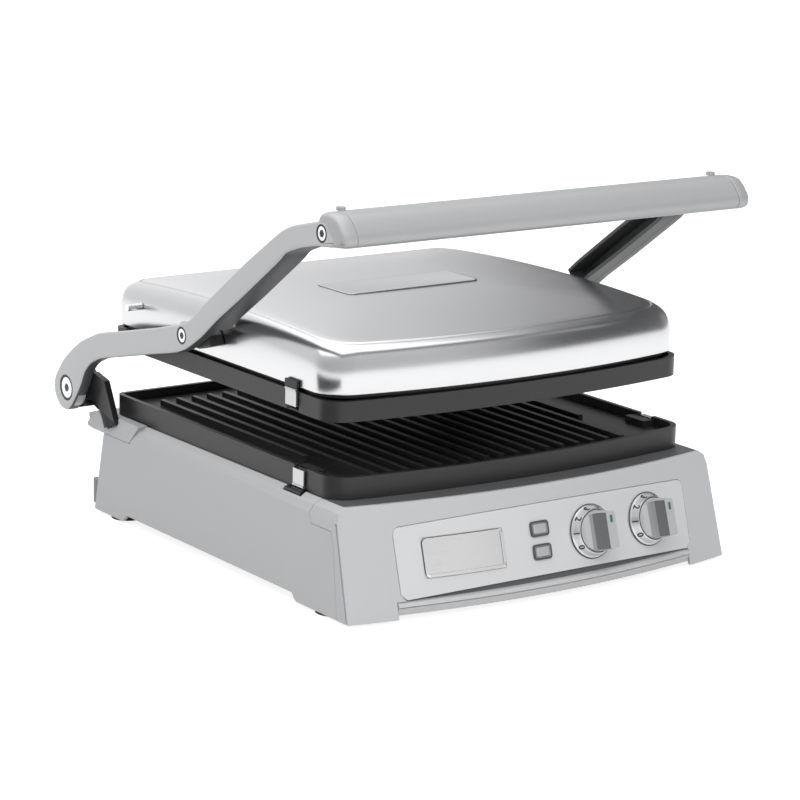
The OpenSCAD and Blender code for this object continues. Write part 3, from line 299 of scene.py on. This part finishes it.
# ---- control panel ----
# An inset moulded panel in pale silver paint on the bowed front, clipped in from behind. A hair
# gap runs round it.
panel = finish("panel_paint", grain, (0.64, 0.65, 0.657), 0.38, shade=0.04, scale=1600,
               depth=0.08, metal=0.15)
dress(["control_panel"], panel, 0.0005)

# ---- badge ----
# A blank brushed metal plate with a raised rounded rim, let into a pocket of the panel. Its
# edge faces are painted dark as the shade in the gap.
brushed = grain_group("brushed_along_x", (0.02, 1, 1))
badge = finish("badge_metal", brushed, (1.0, 1.0, 1.0), 0.30, metal=1.0, shade=0.25,
               scale=1100, depth=0.04)
dress(["badge_plate"], badge, 0.0005)
plate = nodes["badge_plate"].data
plate.materials.append(finish("badge_gap", grain, (0.10, 0.10, 0.105), 0.5))
# the plate's edge faces carry painted shade
for p in plate.polygons:
    if abs(p.normal.y) < 0.6:
        p.material_index = 1

# ---- dark deck, underside and button frames ----
# The dark strip round the lower plate and the floor cover with its vents. Each button sits in a
# dark moulded frame with a lighter bevel inside it.
deck = finish("deck_plastic", grain, (0.105, 0.108, 0.112), 0.45, shade=0.08)
dress(["base_deck", "bottom_cover"], deck, 0.0006)
frames = finish("button_frame_plastic", grain, (0.07, 0.07, 0.073), 0.4, shade=0.08)
dress(["button_bezels"], frames, 0.0004)


# a new mesh that rides on a body of the model
def piece(name, verts, faces, material, body, stands_for=(), sharp=30):
    me = bpy.data.meshes.new(name)
    me.from_pydata(verts, [], faces)
    me.validate()
    b = bmesh.new()
    b.from_mesh(me)
    bmesh.ops.recalc_face_normals(b, faces=b.faces)
    b.to_mesh(me)
    b.free()
    me.materials.append(material)
    for p in me.polygons:
        p.use_smooth = True
    if sharp:
        me.set_sharp_from_angle(angle=radians(sharp))
    o = bpy.data.objects.new(name, me)
    bpy.context.scene.collection.objects.link(o)
    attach(o, body)
    if stands_for:
        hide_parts(*stands_for)
    return o


# joins rings of points into a skin, with or without end faces
def tube(rings, closed_ends=True):
    verts = [p for r in rings for p in r]
    m = len(rings[0])
    faces = [(k * m + i, k * m + (i + 1) % m, (k + 1) * m + (i + 1) % m, (k + 1) * m + i)
             for k in range(len(rings) - 1) for i in range(m)]
    if closed_ends:
        faces += [tuple(range(m))[::-1], tuple(range((len(rings) - 1) * m, len(rings) * m))]
    return verts, faces


# an oblong ring with round corners, on the button's own axes and raised by h
def button_ring(half_width, half_height, r, h, at, axes, steps=6):
    points = []
    for k, (sx, sy) in enumerate(((1, 1), (-1, 1), (-1, -1), (1, -1))):
        for i in range(steps + 1):
            a = pi / 2 * (k + i / steps)
            x = sx * (half_width - r) + r * cos(a)
            y = sy * (half_height - r) + r * sin(a)
            points.append(tuple(at + axes[0] * x + axes[1] * y + axes[2] * h))
    return points


rim = finish("button_rim_plastic", grain, (0.36, 0.365, 0.37), 0.38, metal=0.2, shade=0.06)
# each ring in mm: half width, half height, corner radius, height over the button's face
button_parts = (
    ("frame", frames, ((8.7, 6.1, 2.7, -2.2), (8.7, 6.1, 2.7, -0.9), (8.4, 5.8, 2.4, -0.6),
                       (7.5, 4.9, 1.7, -0.6), (7.1, 4.5, 1.4, -1.0), (7.1, 4.5, 1.4, -2.2))),
    ("bevel", rim, ((7.15, 4.55, 1.4, -2.0), (7.15, 4.55, 1.4, -0.75), (6.9, 4.3, 1.3, -0.55),
                    (6.65, 4.05, 1.2, -0.9), (6.65, 4.05, 1.2, -2.0))))
for name in ("upper", "lower"):
    cap = nodes[f"sear_button_{name}"].data
    face = max((p for p in cap.polygons if p.normal.y < -0.8), key=lambda p: p.area)
    out_n = face.normal.copy()
    wide = Vector((out_n.y, -out_n.x, 0)).normalized()
    wide *= 1 if wide.x > 0 else -1
    axes = (wide, out_n.cross(wide).normalized(), out_n)
    flat = [cap.vertices[i].co for p in cap.polygons if p.normal.dot(out_n) > 0.99
            for i in p.vertices]
    cap_middle = sum(((min(c.dot(v) for c in flat) + max(c.dot(v) for c in flat)) / 2 * v
                      for v in axes), Vector())
    for kind, material, sizes in button_parts:
        rings = [button_ring(a / 1000, b / 1000, r / 1000, h / 1000, cap_middle, axes)
                 for a, b, r, h in sizes]
        verts, faces = tube(rings + [rings[0]], False)
        piece(f"sear_{kind}_{name}", verts, faces, material, "base",
              ("button_bezels",) if kind == "frame" else ())

# ---- black fittings ----
# Hinge towers, lid frame, lid pivot bosses, clip thumb pieces and cord gland, all moulded in
# black plastic and screwed or pressed to the parts they serve.
black = finish("black_plastic", grain, (0.012, 0.012, 0.013), 0.45, shade=0.2, depth=0.12)
dress(["hinge_tower_left", "hinge_tower_right", "lid_frame", "pivot_boss_left",
       "pivot_boss_right", "cord_gland"], black, 0.0012)
dress(["clip_low_left_thumb", "clip_low_right_thumb", "clip_up_left_thumb",
       "clip_up_right_thumb"], black, 0.0005)

# ---- feet ----
# Four soft black rubber discs that carry the grill on the counter, pressed into seats under the
# corners of the base.
rubber = finish("foot_rubber", grain, (0.02, 0.02, 0.02), 0.8, shade=0.3, scale=700, depth=0.3)
dress(["rubber_feet"], rubber, 0.0005)

# ---- plates ----
# Two ribbed plates of cast aluminium under black non-stick coating: satin, with a faint pebble.
# A clip at each side holds them down.
coating = finish("nonstick_coating", grain, (0.018, 0.018, 0.019), 0.38, shade=0.3, scale=1100,
                 depth=0.25, spread=0.15, specular=0.5)
dress(["lower_plate", "upper_plate"], coating, 0.0011)

# ---- heating and wiring inside ----
# Steel-sheathed rods on rolled aluminium reflectors, a small board with its switches, two
# thermostats and a terminal block; all hidden inside the casings.
foil = finish("rolled_aluminium", brushed, (0.78, 0.78, 0.79), 0.35, metal=1.0, shade=0.2)
dress(["lower_reflector", "upper_reflector"], foil, 0)
sheath = finish("element_sheath", grain, (0.2, 0.17, 0.15), 0.45, metal=1.0, shade=0.5)
dress(["lower_element", "upper_element"], sheath, 0)
board = finish("board_laminate", grain, (0.03, 0.16, 0.07), 0.35, shade=0.2)
dress(["control_board"], board, 0.0002)
ceramic = finish("ceramic", grain, (0.72, 0.7, 0.64), 0.5, shade=0.1)
dress(["thermostats", "terminal_block"], ceramic, 0.0005)

# ---- drip tray ----
# Dark grey moulded tray that slides in from the rear under the lower plate. Its bar closes the
# back of the base.
tray = finish("tray_plastic", grain, (0.20, 0.205, 0.21), 0.42, shade=0.08)
dress(["drip_tray"], tray, 0.0012)

# ---- plated small parts ----
# Lid stop pins, rear hooks, hinge pins and screws of bright plated steel, and the plates' clip
# hooks, bent from duller spring steel strip.
plated = finish("bright_plating", grain, (0.83, 0.84, 0.85), 0.16, metal=1.0, shade=0.12,
                scale=600, depth=0.05)
dress(["stop_pins", "lid_hooks"], plated, 0.0004)
spring = finish("clip_spring_steel", brushed, (0.58, 0.585, 0.59), 0.32, metal=1.0, shade=0.2)
dress(["clip_low_left_hook", "clip_low_right_hook", "clip_up_left_hook", "clip_up_right_hook"],
      spring, 0.0004)
dress(["hinge_pins", "grip_screws", "pivot_screws"], plated, 0.0006)

# ---- arms ----
# Two die-cast arms in silver satin paint, open channels on the inner side, joined by a hollow
# grip tube. They turn on the hinge pins and carry the lid on their joint screws.
arm = finish("arm_paint", grain, (0.52, 0.53, 0.54), 0.4, metal=0.3, shade=0.06, scale=1300,
             depth=0.08)
tube_paint = finish("grip_paint", grain, (0.43, 0.44, 0.445), 0.42, metal=0.3, shade=0.05)
dress(["grip_bar"], tube_paint, 0.0009, angle=48)
hinge, joint, grip = (0.2169, 0.1042), (0.0273, 0.1848), (-0.1707, 0.2980)
# the arm seen from its side: outline points in mm from the hinge, lid joint or grip screw
arm_outline = (
    (hinge, ((-2.9, -18.4), (7.6, -19.6), (15.6, -15.4), (20.9, -8.4), (22.3, -1.4), (20.6, 6.1),
             (16.3, 12.1), (7.3, 22.6), (-6.8, 34), (-24.2, 45), (-41.4, 52.5), (-55, 57.6),
             (-78.5, 62.8))),
    (joint, ((49.3, -3.4), (2.3, 8.9), (-12.9, 15.7), (-33.9, 32.3))),
    (grip, ((104.6, -38.4), (56, -6.9), (42.4, -1), (28.9, 2.6), (-4.3, 9.2), (-11.1, 2.9),
            (-16.5, -2.2), (-16.6, -6.6), (5.2, -10.6), (28.4, -15.7), (48.7, -23.1),
            (55.5, -28.8), (111.2, -68.4))),
    (joint, ((-50.5, 20.2), (-28.3, 3.3), (-5.5, -10.3), (9.9, -16.1), (65.2, -28.8))),
    (hinge, ((-58.3, 36.1), (-41.3, 28.6), (-31, 19.6), (-24, 7), (-15.2, -5.2))))


# each turn puts one point between every two, bowed out along the curve
def smooth_outline(points, turns):
    for turn in range(turns):
        k = len(points)
        ways = [((points[i] - points[i - 1]).normalized()
                 + (points[(i + 1) % k] - points[i]).normalized()).normalized() for i in range(k)]
        fuller = []
        for i in range(k):
            a, b = points[i], points[(i + 1) % k]
            bow = min((b - a).length, 0.012) / 8
            fuller += [a, (a + b) / 2 + (ways[i] - ways[(i + 1) % k]) * bow]
        points = fuller
    return points


edge = smooth_outline([Vector((at[0] + y / 1000, at[1] + z / 1000))
                       for at, points in arm_outline for y, z in points], 3)
ways = [(edge[(i + 1) % len(edge)] - edge[i - 1]).normalized() for i in range(len(edge))]
# the deep inner wall runs along the lower edge and past the joint, but not round the grip end;
# three turns make eight points of each outline point
deep = [(edge[i], ways[i]) for i in range(8 * 15 + 4, 8 * 30 + 6)
        if not 8 * 20 + 4 < i < 8 * 25 + 3]
# faces turned inward or downward, and the deep inner wall, are painted dark as their shade
arm_painted_shade = finish("arm_inner_painted_shade", grain, (0.085, 0.087, 0.09), 0.45, metal=0.3, shade=0.06)


def arm_ring(line, inset, x):
    return [(x, p[0] - w[1] * inset, p[1] + w[0] * inset) for p, w in line]


def circle(x, at, radius, sides=48):
    return [(x, at[0] + radius * cos(2 * pi * i / sides), at[1] + radius * sin(2 * pi * i / sides))
            for i in range(sides)]


arm_face, bore_length = 0.1965, 0.01
for name, s in (("left", -1), ("right", 1)):
    rings = [arm_ring(zip(edge, ways), i, s * x) for i, x in (
        (0.0024, arm_face), (0.0012, 0.1962), (0.0004, 0.1955), (0, 0.1944), (0, 0.1868),
        (0.0005, 0.1863), (0.0027, 0.1863), (0.0032, 0.1868), (0.0032, 0.1928))]
    if s > 0:
        rings.reverse()
    verts, faces = tube(rings)
    casting = piece(f"arm_casting_{name}", verts, faces, arm, "arms",
                    (f"arm_{name}",))
    casting.data.materials.append(arm_painted_shade)
    rings = [arm_ring(deep, i, s * x) for i, x in (
        (0.0001, 0.1880), (0.0001, 0.1737), (0.0006, 0.1731), (0.0026, 0.1731), (0.0032, 0.1737),
        (0.0032, 0.1880))]
    verts, faces = tube(rings + [rings[0]], False)
    piece(f"arm_depth_{name}", verts, faces, arm_painted_shade, "arms")
    # behind each screw a boss, and in the arm's face a bore for the screw's cup
    for at, bore_r, sunk, boss in (
            (hinge, 0.0112, 0.0043, 0.0165), (joint, 0.0072, 0.0027, 0.011),
            (grip, 0.0070, 0.0027, 0.0086)):
        verts, faces = tube([circle(s * 0.1935, at, boss), circle(s * 0.1864, at, boss)])
        piece(f"arm_boss_{name}_{round(boss * 1e4)}", verts, faces, arm, "arms")
        bm = bmesh.new()
        bmesh.ops.create_cone(
            bm, cap_ends=True, segments=48, radius1=bore_r, radius2=bore_r, depth=bore_length,
            matrix=Matrix.Translation((s * (arm_face + bore_length / 2 - sunk), *at))
            @ Matrix.Rotation(pi / 2, 4, "Y"))
        me = bpy.data.meshes.new("bore")
        bm.to_mesh(me)
        bm.free()
        bore = bpy.data.objects.new("bore", me)
        bpy.context.scene.collection.objects.link(bore)
        cut = casting.modifiers.new("bore", "BOOLEAN")
        cut.operation, cut.solver, cut.object = "DIFFERENCE", "EXACT", bore
        bpy.context.view_layer.update()
        done = bpy.data.meshes.new_from_object(
            casting.evaluated_get(bpy.context.evaluated_depsgraph_get()))
        casting.modifiers.remove(cut)
        casting.data = done
        bpy.data.objects.remove(bore)
    # inward and downward faces take the painted shade
    for p in casting.data.polygons:
        if s * p.normal.x < -0.5 or p.normal.z < -0.3 and abs(p.normal.x) < 0.5:
            p.material_index = 1

# ---- grip collars ----
# Cast collars between the arm ends and the grip tube, painted like the tube and held by the
# grip screws. A small bumper stands on each.
collar = finish("collar_paint", grain, (0.43, 0.437, 0.445), 0.4, metal=0.3, shade=0.06,
                scale=1300)
dress(["grip_bumpers"], collar, 0.0018, segments=4)
collar_outline = smooth_outline([Vector((grip[0] + y / 1000, grip[1] + z / 1000)) for y, z in (
    (8.6, 8.8), (6.2, 13.4), (1.2, 15.5), (-13.6, 15.5), (-18.6, 12.8), (-22.9, 8.8), (-26.3, 4.8),
    (-28.3, 1.6), (-28.8, -2.8), (-27.2, -6.7), (-19.8, -8.8), (-2.8, -9.4), (5.2, -7.2),
    (8.6, -2.2))], 2)
heart = Vector((grip[0] - 0.0085, grip[1] + 0.0005))
for name, s in (("left", -1), ("right", 1)):
    rings = [[(s * x, *(heart + (p - heart) * size)) for p in collar_outline] for size, x in (
        (0.985, 0.1835), (0.999, 0.1839), (1.0, 0.1846), (1.0, 0.1875), (0.985, 0.1905),
        (0.95, 0.1928), (0.90, 0.1943), (0.82, 0.1954), (0.70, 0.1960), (0.40, 0.1962))]
    if s < 0:
        rings.reverse()
    verts, faces = tube(rings)
    piece(f"grip_collar_{name}", verts, faces, collar, "arms", (f"grip_end_{name}",))

# ---- screw wells ----
# Each arm screw sits in a black plastic cup pressed into a bore of the arm. In its deep hexagon
# socket a flat black hexagon is painted shade.
# place, bore and rim radius, face and depth of each cup; then its hexagon's radius and place
screws = (("hinge", hinge, 0.0089, 0.01115, 0.1963, 0.0030, 0.0036, 0.19615),
          ("joint", joint, 0.0055, 0.0071, 0.1966, 0.0003, 0.0030, 0.19635),
          ("grip", grip, 0.0054, 0.0069, 0.1966, 0.0003, 0.0031, 0.19635))
for name, s in (("left", -1), ("right", 1)):
    for part, at, bore, rim_r, face, depth, hexagon, floor_x in screws:
        rings = [circle(s * x, at, r) for r, x in (
            (bore, face - depth), (bore, face), (rim_r, face), (rim_r, face - depth))]
        verts, faces = tube(rings + [rings[0]], False)
        piece(f"screw_cup_{part}_{name}", verts, faces, black, "arms")
        # a flat black hexagon at the socket's floor stands for its shade
        piece(f"screw_socket_{part}_{name}", circle(s * floor_x, at, hexagon, 6),
              [tuple(range(6))], black, "arms")

# ---- knobs ----
# Silver-grey moulded knobs with a bar across a round base, pushed onto their shafts, each with
# a dark green index mark. Brushed rings lie round them, and two moulded buttons beside them.
knobs = finish("knob_plastic", grain, (0.50, 0.51, 0.515), 0.36, metal=0.2, shade=0.06)
side_shade = finish("knob_side_painted_shade", grain, (0.17, 0.173, 0.176), 0.4, metal=0.2, shade=0.06)
half_shade = finish("knob_slope_painted_half_shade", grain, (0.33, 0.335, 0.34), 0.38, metal=0.2, shade=0.06)
dress(["knob_lower", "knob_upper"], knobs, 0.0009)
smallest_flat = 0.000004
# the bar's sides are painted dark as their shade, and the faces turning into them mid-grey as half
# shade
for name in ("knob_lower", "knob_upper"):
    mesh = nodes[name].data
    mesh.materials.append(side_shade)
    mesh.materials.append(half_shade)
    for p in mesh.polygons:
        sideways = abs(p.normal.x)
        if p.area > smallest_flat and sideways > 0.75:
            p.material_index = 1 if sideways > 0.93 else 2
green = finish("mark_paint", grain, (0.01, 0.16, 0.07), 0.4, shade=0.1)
dress(["knob_mark_lower", "knob_mark_upper"], green, 0)
silver = finish("dial_silver", brushed, (0.72, 0.73, 0.74), 0.3, metal=0.8, shade=0.15)
dress(["dial_ring_lower", "dial_ring_upper"], silver, 0.0003)
caps = finish("button_silver", grain, (0.46, 0.47, 0.48), 0.35, metal=0.3, shade=0.06)
dress(["sear_button_upper", "sear_button_lower"], caps, 0.0014, segments=3)

# ---- lid shell ----
# Pressed from bright stainless sheet, brushed along its width: an upright skirt, a rounded
# edge, a sloping band, a crease and a low crowned top. Its lower edge is turned in.
steel = finish("lid_steel", brushed, (0.72, 0.725, 0.735), 0.24, metal=1.0, shade=0.10,
               scale=1000, depth=0.015, spread=0.10)
low_edge, lid_half, lid_front, lid_back = 0.1665, 0.1724, 0.1469, 0.1775
front_bow, front_corner, back_corner = 0.0184, 0.027, 0.016
crease_height, crease_crown, crease_half = 0.037, 0.0056, 0.150
lid_middle, top_rise = 0.0045, 0.0034


# the lid's outline from above, drawn in by d: bowed front, round front corners, straight sides
def lid_ring(d):
    w, f, back_y = lid_half - d, lid_front - d, lid_back - d
    bow, r, rr = front_bow * (1 - d / lid_half), front_corner - d * 0.12, back_corner - d * 0.05
    bow_r = (w * w + bow * bow) / (2 * bow)
    bow_y = bow_r - f - bow
    corner_y = bow_y - sqrt((bow_r - r) ** 2 - (w - r) ** 2)
    t = asin((w - r) / (bow_r - r))
    bend = [t + (pi / 2 - t) * k / 10 for k in range(1, 11)]
    rise = [corner_y + (back_y - rr - corner_y) * k / 24 for k in range(1, 24)]
    turn = [a * pi / 16 for a in range(9)]
    points = [(bow_r * sin(t * k / 20), bow_y - bow_r * cos(t * k / 20)) for k in range(-20, 21)]
    points += [(w - r + r * sin(a), corner_y - r * cos(a)) for a in bend]
    points += [(w, y) for y in rise]
    points += [(w - rr + rr * cos(a), back_y - rr + rr * sin(a)) for a in turn]
    points += [(w - rr - (2 * w - 2 * rr) * k / 24, back_y) for k in range(1, 24)]
    points += [(-w + rr - rr * sin(a), back_y - rr + rr * cos(a)) for a in turn]
    points += [(-w, y) for y in rise[::-1]]
    points += [(-w + r - r * sin(a), corner_y - r * cos(a)) for a in bend[::-1]]
    return points


# height of the crease round the lid's top; it crowns half way along
def crease(y):
    k = (y - lid_middle) / crease_half
    return low_edge + crease_height + crease_crown * max(0.0, 1 - k * k)


# drawn in by d, at a height over the lower edge; above the skirt it follows the crease
skirt, skirt_to_crease = 0.015, 0.0204
rings = [[(x, y, low_edge + h
           + max(0, h - skirt) / skirt_to_crease * (crease(y) - low_edge - crease_height))
          for x, y in lid_ring(d)] for d, h in (
    (0.0030, 0.0006), (0.0016, 0.0000), (0.0004, 0.0003), (0, 0.0012), (0, 0.0150),
    (0.0002, 0.0190), (0.0008, 0.0230), (0.0017, 0.0265), (0.0030, 0.0295), (0.0047, 0.0318),
    (0.0066, 0.0335), (0.0083, 0.0346))]
# the top, in depths under the crease
rings += [[(x, y, crease(y) - h) for x, y in lid_ring(d)] for d, h in (
    (0.0098, 0.0016), (0.0112, 0.0008), (0.0119, 0.0007), (0.0125, 0.0015), (0.0131, 0.0004),
    (0.0142, -0.0001), (0.020, -0.0006), (0.034, -0.0013), (0.056, -0.0021), (0.080, -0.0028),
    (0.104, -0.0032))]
verts, faces = tube(rings, False)
around = len(rings[0])
first, crown = len(verts) - around, len(verts)
verts.append((0, 0.015, crease(0.015) + top_rise))
faces += [(first + i, first + (i + 1) % around, crown) for i in range(around)]
piece("lid_pressing", verts, faces, steel, "lid", ("lid_shell",), sharp=0)

# ---- lid plateau ----
# A blank oblong field stamped up in the middle of the lid's sheet. Its rolled rim is painted
# dark, a line of painted shade.
rings = []
for d, h in ((-0.0014, -0.0006), (-0.0006, 0.0003), (0.0000, 0.0011), (0.0008, 0.0012),
             (0.0018, 0.0012), (0.0030, 0.0010)):
    half_width, half_depth, r = 0.065 - d, 0.025 - d, 0.006 - d * 0.5
    points = [(sx * (half_width - r) + r * cos(radians(start + a * 15)),
               0.0095 + sy * (half_depth - r) + r * sin(radians(start + a * 15)))
              for sx, sy, start in ((1, 1, 0), (-1, 1, 90), (-1, -1, 180), (1, -1, 270))
              for a in range(7)]
    rings.append([(x, y, crease(y) + 0.0032 - 0.0028 * (x / 0.17) ** 2 + h) for x, y in points])
verts, faces = tube(rings, False)
faces.append(tuple(range(len(verts) - len(rings[0]), len(verts))))
field = piece("lid_plateau", verts, faces, steel, "lid", (), sharp=0)
field.data.materials.append(finish("plateau_rim_painted_shade", brushed, (0.16, 0.16, 0.165), 0.4, metal=1.0))
# the rim's outer faces take the painted shade
for p in field.data.polygons[:2 * len(rings[0])]:
    p.material_index = 1

# ---- dial markings ----
# Dark printed figures, plain numbers from 0 to 6, on the sloping face of each silver ring, and
# thin dark rings of painted shade at the ring's two edges.
ring_gap_shade = finish("dial_gap_painted_shade", grain, (0.05, 0.05, 0.052), 0.6)
ink = finish("dial_ink", grain, (0.03, 0.03, 0.035), 0.5, shade=0.1)
# how far the panel leans back for each unit of height, and the bow's radius and centre
lean, panel_bow, panel_centre = 24.1 / 84, 0.81035, 0.60735
dial_z = 0.0426
# from the panel's own measures to the shared frame
frame_y, frame_z = -0.0155, 0.0038
# slope of the ring's face, and its middle from the dial's centre
steep, shallow = 0.935, 0.355
figure_r, figure_h = 0.0193, 0.0049
first_angle, angle_step = 214, 36
for knob, cx in (("lower", 0.039), ("upper", 0.101)):
    bow_here = panel_bow - lean * dial_z
    turn, tilt = asin(cx / bow_here), atan(lean)
    face_y = panel_centre - sqrt(bow_here * bow_here - cx * cx)
    out_n = Vector((sin(turn) * cos(tilt), -cos(turn) * cos(tilt), sin(tilt)))
    up_n = Vector((-sin(turn) * sin(tilt), cos(turn) * sin(tilt), cos(tilt)))
    side = up_n.cross(out_n)
    hub = Vector((cx, face_y + frame_y, dial_z + frame_z))
    # thin dark rings laid in the gaps as painted shade
    for part, r0, r1, h in (("inner", 0.0164, 0.0173, 0.00806), ("outer", 0.0209, 0.0217, 0.0009)):
        verts = [hub + (side * cos(pi * i / 32) + up_n * sin(pi * i / 32)) * r + out_n * h
                 for r in (r0, r1) for i in range(64)]
        piece(f"dial_{knob}_gap_{part}", [tuple(v) for v in verts],
              [(i, (i + 1) % 64, 64 + (i + 1) % 64, 64 + i) for i in range(64)], ring_gap_shade, "base")
    for k, text in enumerate(("0", "1", "2", "3", "4", "5", "6")):
        a = radians(first_angle - k * angle_step)
        around = side * cos(a) + up_n * sin(a)
        face_n = (around * steep + out_n * shallow).normalized()
        curve = bpy.data.curves.new(f"dial_{knob}_figure_{text}", "FONT")
        curve.body = text
        curve.size = 0.0078
        curve.extrude = 0.00008
        curve.offset = 0.00012
        curve.align_x = curve.align_y = "CENTER"
        curve.materials.append(ink)
        o = bpy.data.objects.new(f"dial_{knob}_figure_{text}", curve)
        bpy.context.scene.collection.objects.link(o)
        upward = (out_n * steep - around * shallow).normalized()
        o.matrix_world = Matrix.Translation(hub + around * figure_r + out_n * figure_h) @ Matrix(
            (upward.cross(face_n), upward, face_n)).transposed().to_4x4()
        bpy.context.view_layer.update()
        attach(o, "base")
